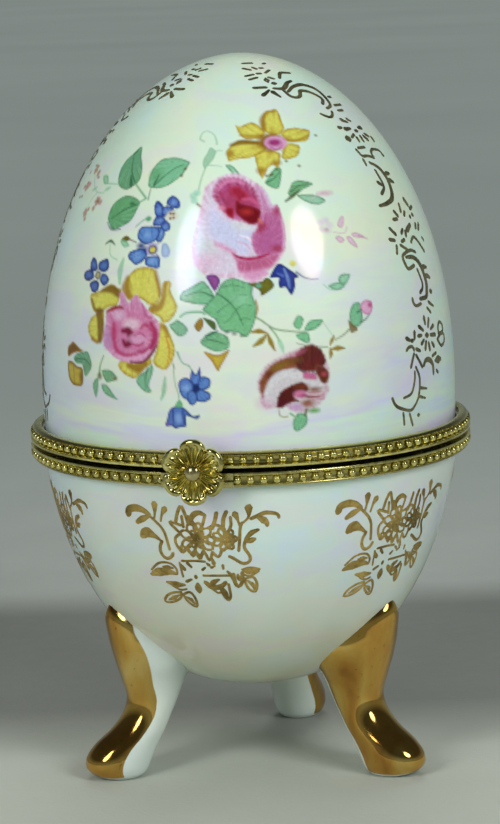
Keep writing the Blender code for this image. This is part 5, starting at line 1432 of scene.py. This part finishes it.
def gilt_foot_glaze(name):
    """Burnished gold brushed over the outer side of a foot, white glaze on the rest."""
    nodes = Nodes(name)
    gold_at = nodes.add("ShaderNodeAttribute", attribute_name="gilding")
    ragged = nodes.span(nodes.noise(260, 3, (1, 1, 0.4)), -0.02, 0.02)
    edge = nodes.math("ADD", gold_at.outputs["Fac"], ragged)
    share = nodes.span(edge, 0.0, 1.0, -0.015, 0.015)
    brush = nodes.noise(190, 5, (1, 1, 0.45), 0.4)
    gold = nodes.ramp(brush, FOOT_GOLD)
    pits = nodes.ramp(nodes.noise(1300, 3), ((0.25, (0.45, 0.36, 0.25)), (0.33, WHITE)))
    gold = nodes.blend(0.7, gold, pits, "MULTIPLY")
    white = nodes.ramp(nodes.noise(60, 3), ((0.35, (0.58, 0.67, 0.64)), (0.65, (0.66, 0.73, 0.64))))
    nodes.feed("Base Color", nodes.blend(share, white, gold))
    nodes.feed("Metallic", share)
    nodes.feed("Roughness", nodes.span(nodes.noise(500, 4, (1, 1, 0.3)), 0.05, 0.13))
    nodes.bump(nodes.noise(420, 3, (1, 1, 0.25)), 0.16, 0.0001)
    return nodes.material


def cement_finish(name):
    """Matt grey cement with pits."""
    nodes = Nodes(name)
    tone = nodes.ramp(nodes.noise(800, 5), ((0.3, (0.42, 0.40, 0.35)), (0.7, (0.66, 0.64, 0.57))))
    nodes.feed("Base Color", tone)
    nodes.feed("Roughness", nodes.span(nodes.noise(500, 3), 0.75, 0.95))
    nodes.bump(nodes.noise(1200, 4), 0.5, 0.0001)
    return nodes.material


# ---------------------------------------------------------------------------- porcelain

PAINTED_ANGLES = (-62.0, 55.0)    # the lid's mesh is dense between these, where the bouquet is
PAINTED_HEIGHTS = (5.0, 54.0)
PAINT_ANGLE_STEP = 0.42           # degrees between its points there
PAINT_ROW_STEP = 0.23             # and millimetres between its rows
PLAIN_ANGLE_STEP = 4.5            # degrees between its points elsewhere


def stacked_rings(rings, tips=()):
    """Points and faces of rings joined in order: closed by two tips, or else last to first."""
    count = len(rings[0])
    points = np.concatenate(rings).tolist()
    last = (len(rings) - 1) * count
    faces = []
    for low in range(0, last, count):
        for i in range(count):
            j = (i + 1) % count
            faces.append((low + i, low + j, low + count + j, low + count + i))
    if not tips:
        for i in range(count):
            j = (i + 1) % count
            faces.append((last + i, last + j, j, i))
    for start, tip in zip((0, last), tips):
        points.append(tip)
        for i in range(count):
            faces.append((start + i, start + (i + 1) % count, len(points) - 1))
    return points, faces


def quarter_wave(count):
    """Shares from 0 towards 1 that crowd together near 1, leaving 1 itself out."""
    return np.sin(np.linspace(0, math.pi / 2, count)[:-1])


def on_axis(height):
    """The point on the egg's axis at a height above the seam."""
    return (0.0, 0.0, SEAM_Z + height)


def ring_at(radius, height, angles):
    """A level ring of points round the egg's axis."""
    turn = angles * DEGREE
    return np.stack([radius * np.sin(turn), -radius * np.cos(turn), np.full(len(turn), SEAM_Z + height)],
                    -1)


def lid_rows():
    """Heights of the lid's outer rows: close together where the bouquet is."""
    low = np.linspace(RIM_FACE, PAINTED_HEIGHTS[0], 6)
    arcs = np.interp(PAINTED_HEIGHTS, ARC_HEIGHTS, ARC_LENGTHS)
    painted = np.interp(np.arange(arcs[0], arcs[1], PAINT_ROW_STEP)[1:], ARC_LENGTHS, ARC_HEIGHTS)
    top = np.interp(np.linspace(arcs[1], ARC_LENGTHS[-1], 16)[:-1], ARC_LENGTHS, ARC_HEIGHTS)
    return np.concatenate([low, painted, top])


def make_lid_porcelain(finish):
    """The lid's porcelain: a dense outer skin that carries the painting, and a plain inside."""
    painted = np.arange(PAINTED_ANGLES[0], PAINTED_ANGLES[1], PAINT_ANGLE_STEP)
    plain = np.arange(PAINTED_ANGLES[1], 360 + PAINTED_ANGLES[0] - 1, PLAIN_ANGLE_STEP)
    angles = np.concatenate([painted, plain])
    heights = lid_rows()
    rings = [ring_at(float(lid_radius(h)), h, angles) for h in heights[::-1]]
    inner_top = LID_RISE - LID_WALL
    inner = RIM_FACE + (inner_top - RIM_FACE) * quarter_wave(22)
    inset, stand = EDGE_CREST
    rings.append(ring_at(float(lid_radius(RIM_FACE)) - inset, RIM_FACE - stand, angles))
    rings += [ring_at(float(lid_radius(h, LID_WALL)), h, angles) for h in inner]
    points, faces = stacked_rings(rings, (on_axis(LID_RISE), on_axis(inner_top)))
    piece = mesh_piece("lid_porcelain", points, faces, finish, "lid")
    face_outwards(piece)
    spread_angles = np.tile(angles, len(heights))
    spread_angles = np.where(spread_angles > 180, spread_angles - 360, spread_angles)
    art = Painting(spread_angles, np.repeat(heights[::-1], len(angles)))
    paint_bouquet(art)
    layer = piece.data.color_attributes.new("enamel", "FLOAT_COLOR", "POINT")
    values = np.zeros((len(points), 4), np.float32)
    values[:len(spread_angles), :3] = art.colour
    values[:len(spread_angles), 3] = art.cover
    layer.data.foreach_set("color", values.ravel())
    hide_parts("lid_shell")


def make_base_porcelain(finish):
    """The bowl, open upwards."""
    angles = np.arange(0, 360, 3.0)
    outer = RIM_FACE + (BOWL_DROP - RIM_FACE) * quarter_wave(60)
    inner_drop = BOWL_DROP - BOWL_WALL
    inner = RIM_FACE + (inner_drop - RIM_FACE) * quarter_wave(30)
    inset, stand = EDGE_CREST
    rings = [ring_at(float(bowl_radius(-d)), -d, angles) for d in outer[::-1]]
    rings.append(ring_at(float(bowl_radius(-RIM_FACE)) - inset, -RIM_FACE + stand, angles))
    rings += [ring_at(float(bowl_radius(-d, BOWL_WALL)), -d, angles) for d in inner]
    points, faces = stacked_rings(rings, (on_axis(-BOWL_DROP), on_axis(-inner_drop)))
    piece = mesh_piece("base_porcelain", points, faces, finish, "base")
    face_outwards(piece)
    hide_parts("base_shell")


# Height, inner reach, outer reach and half width of the foot's level sections
FOOT_SECTIONS = (
    (0.0, 21.6, 28.2, 3.0),
    (0.5, 21.0, 29.4, 3.7),
    (1.4, 20.4, 30.5, 4.2),
    (3.0, 19.6, 30.8, 4.4),
    (5.2, 18.4, 29.2, 4.3),
    (7.2, 17.3, 26.4, 4.2),
    (9.5, 16.2, 24.2, 4.1),
    (12.0, 15.0, 23.2, 4.3),
    (15.5, 13.4, 24.0, 5.2),
    (19.0, 11.0, 25.0, 6.8),
    (23.0, 8.4, 26.0, 6.7),
    (27.0, 6.0, 26.4, 4.6),
    (28.8, 5.5, 25.6, 2.2),
)
GOLD_TURN = -23.5         # the gold's middle, in degrees round the foot from its outward side
GOLD_HALF = 102.0         # how far the gold reaches either way
GOLD_DRAW_IN = 36.0       # how much narrower the gold gets on one side towards the bowl
GOLD_DRAW_HEIGHTS = (10, 24)  # between these heights it narrows
GOLD_FADE = 60            # the gilding value falls by 1 over this many degrees
SOLE_LINE = 0.55          # height of the bare white line above the floor
SOLE_FADE = 2             # and by 1 over this many millimetres towards the sole
CORE_INSET = 1.2          # the feet run this far into the bowl's wall


def foot_sections(heights):
    """Smoothly blended inner reach, outer reach and half width at each height."""
    table = np.array(FOOT_SECTIONS)
    slopes = np.gradient(table[:, 1:], table[:, 0], axis=0)
    place = np.clip(np.searchsorted(table[:, 0], heights) - 1, 0, len(table) - 2)
    span = (table[place + 1, 0] - table[place, 0])[:, None]
    t = (heights - table[place, 0])[:, None] / span
    start = (1 + 2 * t) * (1 - t) ** 2 * table[place, 1:]
    end = t * t * (3 - 2 * t) * table[place + 1, 1:]
    leave = t * (1 - t) ** 2 * span * slopes[place]
    arrive = t * t * (t - 1) * span * slopes[place + 1]
    return start + end + leave + arrive


def bowl_core():
    """A solid a little inside the bowl's outer skin, to trim the feet with."""
    angles = np.arange(0, 360, 5.0)
    drop = BOWL_DROP - CORE_INSET
    depths = drop * quarter_wave(30)
    rings = [ring_at(float(bowl_radius(-d, CORE_INSET)), -d, angles) for d in depths[::-1]]
    points, faces = stacked_rings(rings, (on_axis(-drop), on_axis(0.0)))
    core = in_scene("bowl_core", mesh_in_metres("bowl_core", points, faces))
    face_outwards(core)
    return core


def foot_direction(name):
    """Which way a foot points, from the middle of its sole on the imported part."""
    pad = name.replace("foot_", "foot_pad_").replace("_front", "")
    mount = next(m for m in frame["record"]["mounts"] if m["name"] == pad)
    return math.atan2(mount["pos_m"][1], mount["pos_m"][0])


def trimmed_mesh(piece, core):
    """The piece's mesh with the core cut away from it."""
    trim = piece.modifiers.new("trim", "BOOLEAN")
    trim.operation = "DIFFERENCE"
    trim.solver = "EXACT"
    trim.object = core
    bpy.context.view_layer.update()
    graph = bpy.context.evaluated_depsgraph_get()
    shaped = bpy.data.meshes.new_from_object(piece.evaluated_get(graph))
    piece.modifiers.remove(trim)
    return shaped


def make_foot(name, finish, core):
    """A cabriole foot with a toe, gilded on its outer side."""
    turn = foot_direction(name)
    heights = FOOT_SECTIONS[-1][0] * np.linspace(0, 1, 72) ** 1.25
    steps = 56
    around = math.tau * np.arange(steps) / steps
    rings = []
    gilding = []
    for height, (inner, outer, half) in zip(heights, foot_sections(heights)):
        reach = (inner + outer) / 2 + (outer - inner) / 2 * np.cos(around)
        aside = half * np.sin(around)
        rings.append(np.stack([
            reach * math.cos(turn) - aside * math.sin(turn),
            reach * math.sin(turn) + aside * math.cos(turn),
            np.full(steps, height),
        ], -1))
        off = (np.degrees(around) - GOLD_TURN + 180) % 360 - 180
        climb = np.interp(height, GOLD_DRAW_HEIGHTS, (0.0, 1.0))
        limit = np.where(off > 0, GOLD_HALF - GOLD_DRAW_IN * climb, GOLD_HALF)
        gilding.append(np.minimum((limit - np.abs(off)) / GOLD_FADE, (height - SOLE_LINE) / SOLE_FADE))
    tips = [tuple(np.mean(rings[end], axis=0)) for end in (0, -1)]
    mesh = mesh_in_metres(name + "_gilded", *stacked_rings(rings, tips))
    values = np.concatenate([*gilding, [-1.0, 1.0]])
    layer = mesh.attributes.new("gilding", "FLOAT", "POINT")
    layer.data.foreach_set("value", values.astype(np.float32))
    foot = in_scene(name + "_gilded", mesh)
    face_outwards(foot)
    shaped = trimmed_mesh(foot, core)
    foot.data = shaped
    shaped.materials.clear()
    shaped.materials.append(finish)
    shaped.shade_smooth()
    shaped.set_sharp_from_angle(angle=50 * DEGREE)
    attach(foot, "base")
    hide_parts(name)


# ---------------------------------------------------------------------------- brass fittings

BEAD_COUNT = 110
BEAD_RADIUS = 0.62
BEAD_HEIGHT = 1.55        # centre of the beads above the seam's mid-plane
BEAD_INSET = 0.56         # and in from the collar's outer wall
GROOVE_DEPTH = 0.62       # of the groove that the beads stand in

# Half a collar's section, from its outer foot over the shoulder and in to the lip:
# (distance in from the outer wall, height above the seam's mid-plane)
COLLAR_SECTION = (
    (0.30, 0.32), (0.08, 0.36), (0.0, 0.46), (0.0, 0.72), (0.10, 0.82), (0.36, 0.88), (0.58, 1.02),
    (0.66, 1.3),
    (0.66, 1.80), (0.58, 2.06), (0.40, 2.16), (0.34, 2.30), (0.52, 2.52), (0.86, 2.66), (1.25, 2.74),
    (1.60, 2.74),
    (1.78, 2.66), (1.80, 2.40), (0.9, 1.9), (0.6, 1.4), (0.6, 0.82), (5.7, 0.82), (5.72, 2.15), (5.92, 2.2),
    (6.12, 2.15), (6.12, 0.5), (6.0, 0.34),
)


def add_bead(points, faces, centre, out):
    """Add a round bead that stands out from the collar."""
    around, levels = 14, 5
    first = np.cross(out, (0.0, 0.0, 1.0))
    first /= np.linalg.norm(first)
    second = np.cross(out, first)
    start = len(points)
    for level in range(levels):
        rise = math.pi / 2 * (level / levels)
        for i in range(around):
            turn = math.tau * i / around
            flat = first * math.cos(turn) + second * math.sin(turn)
            points.append(centre + BEAD_RADIUS * (flat * math.cos(rise) + out * math.sin(rise)))
    points.append(centre + out * BEAD_RADIUS)
    top = len(points) - 1
    for level in range(levels - 1):
        for i in range(around):
            j = (i + 1) % around
            low = start + level * around
            faces.append((low + i, low + j, low + around + j, low + around + i))
    last = start + (levels - 1) * around
    for i in range(around):
        faces.append((last + i, last + (i + 1) % around, top))


def make_beaded_rim(name, side, body, node, finish):
    """A stamped collar with its row of beads; side is 1 on the lid and -1 on the base."""
    angles = np.arange(0, 360, 2.5)
    rings = [ring_at(COLLAR_RADIUS - inset, side * height, angles) for inset, height in COLLAR_SECTION]
    points, faces = stacked_rings(rings)
    for i in range(BEAD_COUNT):
        turn = math.tau * (i + 0.5 * (side > 0)) / BEAD_COUNT
        out = np.array((math.sin(turn), -math.cos(turn), 0.0))
        add_bead(points, faces, out * (COLLAR_RADIUS - BEAD_INSET) + on_axis(side * BEAD_HEIGHT), out)
    piece = mesh_piece(name, points, faces, finish, body, 40)
    face_outwards(piece)
    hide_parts(node)


PETALS = 6
PETAL_RIDGES = 3.5        # ridges on each half of a petal
PETAL_DIP = 0.26          # how far the outline dips between petals, as a share of the reach
FLOWER_REACH = 0.96       # share of the CAD flower's height that the outline reaches


def ring_facing_front(radius, depth, middle, turn):
    """A ring of points round the clasp's own axis, which points towards -Y."""
    back = np.broadcast_to(depth, turn.shape)
    return np.stack([radius * np.sin(turn), back, middle + radius * np.cos(turn)], -1)


def make_flower(finish):
    """The cast flower: six round petals with radial ridges and a thick rolled edge."""
    low, high = (Vector(corner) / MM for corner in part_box("clasp_flower"))
    reach = (high.z - low.z) / 2 * FLOWER_REACH
    middle = (high.z + low.z) / 2
    steps = PETALS * 36
    shares = np.concatenate([[0.16, 0.16], np.linspace(0.17, 1.0, 30), [1.0, 0.93]])
    turn = math.tau * np.arange(steps) / steps
    # Place across its own petal: 0 on the petal's middle line, -1 and 1 between petals
    local = ((turn * PETALS / math.tau + 0.5) % 1 - 0.5) * 2
    lobe = 1 - PETAL_DIP + PETAL_DIP * np.sqrt(np.clip(1 - np.abs(local) ** 2.3, 0, 1))
    rings = []
    for level, share in enumerate(shares):
        lobed = min(1, share * 2.2)
        radius = reach * share * (lobe * lobed + 0.86 * (1 - lobed))
        ridged = math.sin(math.pi * min(1, max(0, (share - 0.2) / 0.68)))
        ridge = np.cos(math.pi * PETAL_RIDGES * local) * ridged
        rolled = math.exp(-((share - 0.9) / 0.07) ** 2)
        depth = 0.50 + 0.30 * share + 0.34 * ridge + 0.26 * rolled
        depth = depth - 0.50 * np.abs(local) ** 5 * min(1, share * 1.6)
        if share == 1.0:
            depth = depth * (0.78 if level == len(shares) - 3 else 0.3)
        if level in (0, len(shares) - 1):
            depth = depth * 0
        rings.append(ring_facing_front(radius, high.y - depth, middle, turn))
    points, faces = stacked_rings(rings)
    piece = mesh_piece("flower_casting", points, faces, finish, "clasp", 50)
    face_outwards(piece)
    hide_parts("clasp_flower")


def make_rivet(finish):
    """The domed rivet in the flower's middle, on a small washer step."""
    low, high = (Vector(corner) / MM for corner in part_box("clasp_rivet"))
    radius = (high.x - low.x) / 2
    middle = (high.z + low.z) / 2
    steps = 40
    turn = math.tau * np.arange(steps) / steps
    washer = high.y - 1.35
    profile = [(0.42, high.y), (0.42, high.y - 1.0), (radius, high.y - 1.15), (radius * 1.06, washer)]
    for share in np.linspace(0.15, 0.95, 8):
        rise = share * math.pi / 2
        profile.append((radius * 1.04 * math.cos(rise), washer - (washer - low.y) * math.sin(rise)))
    rings = [ring_facing_front(out, depth, middle, turn) for out, depth in profile]
    points, faces = stacked_rings(rings, ((0.0, high.y, middle), (0.0, low.y, middle)))
    piece = mesh_piece("rivet_dome", points, faces, finish, "clasp", 50)
    face_outwards(piece)
    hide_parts("clasp_rivet")


def dress_cad_node(name, finish, width):
    """Give a carried-over CAD piece its finish and softened edges."""
    piece = frame["nodes"][name]
    piece.data.materials.clear()
    piece.data.materials.append(finish)
    if width:
        soften = piece.modifiers.new("soften", "BEVEL")
        soften.width = width * MM
        soften.segments = 2
        soften.limit_method = "ANGLE"
        soften.angle_limit = 40 * DEGREE


# ---------------------------------------------------------------------------- studio

# Metres and degrees; angles run from the clasp towards +X
AIM = Vector((0, 0, 0.05662))
CAMERA_DISTANCE = 0.4931
CAMERA_TILT = 9.24
CAMERA_ANGLE = 13.5
CAMERA_ROLL = -1.83
LENS = 133.56             # focal length and sensor width in millimetres
SENSOR = 36.0
LIGHT_DISTANCE = 0.6
LIGHT_AIM = Vector((0, 0, 0.085))
# Soft boxes: angle, height angle, width, height, power, colour, and whether glossy surfaces show
# it as a highlight; one that they don't show only fills the shadows
SOFT_BOXES = {
    "left_soft_box": (-22.5, 27.5, 0.15, 0.29, 0.70, (1.0, 0.99, 0.97), True),
    "right_soft_box": (54.5, 29, 0.19, 0.22, 0.66, (0.97, 1.0, 1.03), True),
    "left_fill": (-28, 18, 0.3, 0.3, 1.12, (1.0, 0.99, 0.99), False),
    "right_fill": (50, 22, 0.3, 0.3, 1.35, (0.98, 1.0, 1.02), False),
    "rear_fill": (190, 40, 0.4, 0.4, 1.4, WHITE, False),
    "top_fill": (0, 75, 0.5, 0.5, 0.6, WHITE, False),
}


def toward(angle, lift):
    """Unit vector from the egg outwards, at an angle from the clasp and an angle above the level."""
    across, up = angle * DEGREE, lift * DEGREE
    return Vector((math.sin(across) * math.cos(up), -math.cos(across) * math.cos(up), math.sin(up)))


def make_camera():
    """The photograph's long lens, slightly above and to the right of the clasp."""
    angle = CAMERA_ANGLE * DEGREE
    back = toward(CAMERA_ANGLE, CAMERA_TILT)
    right = Vector((math.cos(angle), math.sin(angle), 0))
    up = right.cross(-back)
    roll = CAMERA_ROLL * DEGREE
    rolled_right = math.cos(roll) * right + math.sin(roll) * up
    rolled_up = math.cos(roll) * up - math.sin(roll) * right
    lens = bpy.data.cameras.new("camera")
    lens.lens = LENS
    lens.sensor_width = SENSOR
    camera = in_scene("camera", lens)
    turn = Matrix((rolled_right, rolled_up, back)).transposed().to_4x4()
    camera.matrix_world = Matrix.Translation(AIM + CAMERA_DISTANCE * back) @ turn
    bpy.context.scene.camera = camera


def make_soft_box(name, angle, lift, width, height, power, colour, shines):
    """A soft box aimed at the egg, not seen by the camera itself."""
    light = bpy.data.lights.new(name, "AREA")
    light.shape = "ELLIPSE"
    light.size = width
    light.size_y = height
    light.energy = power
    light.color = colour
    lamp = in_scene(name, light)
    direction = toward(angle, lift)
    lamp.location = LIGHT_AIM + direction * LIGHT_DISTANCE
    lamp.rotation_euler = direction.to_track_quat("Z", "Y").to_euler()
    lamp.visible_camera = False
    lamp.visible_glossy = shines


ROOM = (0.215, 0.248, 0.232)
CEILING = (0.05, 0.055, 0.05)
CEILING_FADE = (0.12, 0.42)   # how high up the room turns into the ceiling, 1 being overhead
# The cloth's colours from just before the egg (0) to well behind it (1): painted shading, pale in front,
# with a darker band behind that is partly a fold in the cloth and partly painted shadow
CLOTH_AND_SHADOW = (
    (0.0, (0.51, 0.54, 0.47)),
    (0.17, (0.47, 0.50, 0.44)),
    (0.27, (0.26, 0.275, 0.25)),
    (0.515, (0.225, 0.24, 0.22)),
    (0.585, (0.40, 0.43, 0.40)),
    (1.0, (0.40, 0.44, 0.41)),
)
CLOTH_AND_SHADOW_SPAN = (-0.05, 0.25)    # metres beyond the egg where those colours begin and end
HAZE_SPAN = (0.16, 0.42)      # metres from the egg over which the cloth fades into the room
FLOOR_RADIUS = 9.0
FLOOR_DROP = 0.00005          # just under the feet, so that they don't share a face with it


def make_floor():
    """A wide sweep of cloth: pale under the egg, with painted shading and shadow behind it, and fading to
    the grey-green of the room.
    """
    nodes = Nodes("floor_cloth_and_shadow")
    where = nodes.add("ShaderNodeNewGeometry").outputs["Position"]
    parts = nodes.add("ShaderNodeSeparateXYZ")
    nodes.link(where, parts.inputs[0])
    angle = CAMERA_ANGLE * DEGREE
    ahead_x = nodes.math("MULTIPLY", parts.outputs["X"], -math.sin(angle))
    ahead_y = nodes.math("MULTIPLY", parts.outputs["Y"], math.cos(angle))
    behind = nodes.math("ADD", ahead_x, ahead_y)
    # Painted shading on the cloth: pale in front, and a darker band behind that is partly a fold and partly
    # painted shadow
    tone = nodes.ramp(nodes.span(behind, 0.0, 1.0, *CLOTH_AND_SHADOW_SPAN), CLOTH_AND_SHADOW)
    weave = nodes.ramp(nodes.noise(45, 5), ((0.3, (0.95, 0.95, 0.95)), (0.7, WHITE)))
    tone = nodes.blend(1.0, tone, weave, "MULTIPLY")
    nodes.feed("Base Color", tone)
    nodes.feed("Roughness", nodes.span(nodes.noise(300, 3), 0.75, 0.9))
    nodes.shader.inputs["Specular IOR Level"].default_value = 0.2
    nodes.bump(nodes.noise(900, 4), 0.3, 0.0003)
    length = nodes.add("ShaderNodeVectorMath", operation="LENGTH")
    nodes.link(where, length.inputs[0])
    distance = nodes.span(length.outputs["Value"], 0.0, 1.0, *HAZE_SPAN)
    glow = nodes.add("ShaderNodeEmission")
    haze = nodes.ramp(nodes.noise(3, 3), ((0.3, (0.205, 0.238, 0.222)), (0.7, (0.225, 0.258, 0.242))))
    nodes.link(haze, glow.inputs["Color"])
    mixed = nodes.add("ShaderNodeMixShader")
    nodes.link(distance, mixed.inputs["Fac"])
    nodes.link(nodes.shader.outputs["BSDF"], mixed.inputs[1])
    nodes.link(glow.outputs["Emission"], mixed.inputs[2])
    nodes.link(mixed.outputs["Shader"], nodes.tree.nodes["Material Output"].inputs["Surface"])
    steps = 96
    points = []
    for i in range(steps):
        turn = math.tau * i / steps
        points.append((FLOOR_RADIUS * math.cos(turn), FLOOR_RADIUS * math.sin(turn), -FLOOR_DROP))
    mesh = bpy.data.meshes.new("floor")
    mesh.from_pydata(points, [], [tuple(range(steps))])
    mesh.materials.append(nodes.material)
    floor = in_scene("floor", mesh)


def make_room():
    """Grey-green surroundings that darken overhead."""
    world = bpy.data.worlds.new("room")
    world.use_nodes = True
    tree = world.node_tree
    where = tree.nodes.new("ShaderNodeTexCoord")
    parts = tree.nodes.new("ShaderNodeSeparateXYZ")
    fade = tree.nodes.new("ShaderNodeValToRGB")
    for element, position, colour in zip(fade.color_ramp.elements, CEILING_FADE, (ROOM, CEILING)):
        element.position = position
        element.color = (*colour, 1)
    tree.links.new(where.outputs["Generated"], parts.inputs[0])
    tree.links.new(parts.outputs["Z"], fade.inputs["Fac"])
    tree.links.new(fade.outputs["Color"], tree.nodes["Background"].inputs["Color"])
    bpy.context.scene.world = world
    bpy.context.scene.view_settings.view_transform = "Standard"


def build():
    """Make every piece, then the studio round it."""
    lid_gilt = brass("lid_gilt", (0.24, 0.22, 0.11), (0.08, 0.08, 0.045), (0.2, 0.4), 1500, 0.55)
    base_gilt = brass("base_gilt", (0.62, 0.44, 0.14), (0.25, 0.17, 0.05), (0.25, 0.45), 1500, 0.85)
    stamped = brass("stamped_brass", (0.96, 0.88, 0.35), (0.76, 0.67, 0.23), (0.16, 0.30), shaded_groove=True)
    rolled = brass("rolled_brass", (0.74, 0.66, 0.28), (0.50, 0.43, 0.15), (0.18, 0.34))
    cast = brass("cast_brass", (0.80, 0.72, 0.29), (0.50, 0.42, 0.13), (0.06, 0.18), 700)
    wire = brass("drawn_brass", (0.70, 0.62, 0.34), (0.50, 0.40, 0.18), (0.15, 0.3), 1200)
    cement = cement_finish("rim_cement")
    make_lid_porcelain(pearl_glaze("pearl_glaze_lid", True))
    make_lid_gilding(lid_gilt)
    make_base_porcelain(pearl_glaze("pearl_glaze_base", False))
    make_base_gilding(base_gilt)
    foot_glaze = gilt_foot_glaze("gilt_foot")
    core = bowl_core()
    for name in ("foot_front_left", "foot_front_right", "foot_rear"):
        make_foot(name, foot_glaze, core)
    bpy.data.objects.remove(core)
    make_beaded_rim("lid_rim", 1, "lid", "lid_collar", stamped)
    make_beaded_rim("base_rim", -1, "base", "base_collar", stamped)
    make_flower(cast)
    make_rivet(wire)
    for name in ("lid_hinge_leaf", "base_hinge_leaf", "clasp_keeper", "clasp_lug", "clasp_tongue"):
        dress_cad_node(name, rolled, 0.08)
    dress_cad_node("hinge_pin", wire, 0)
    for name in ("lid_cement_bed", "base_cement_bed"):
        dress_cad_node(name, cement, 0)
    make_camera()
    for name, settings in SOFT_BOXES.items():
        make_soft_box(name, *settings)
    make_floor()
    make_room()


build()
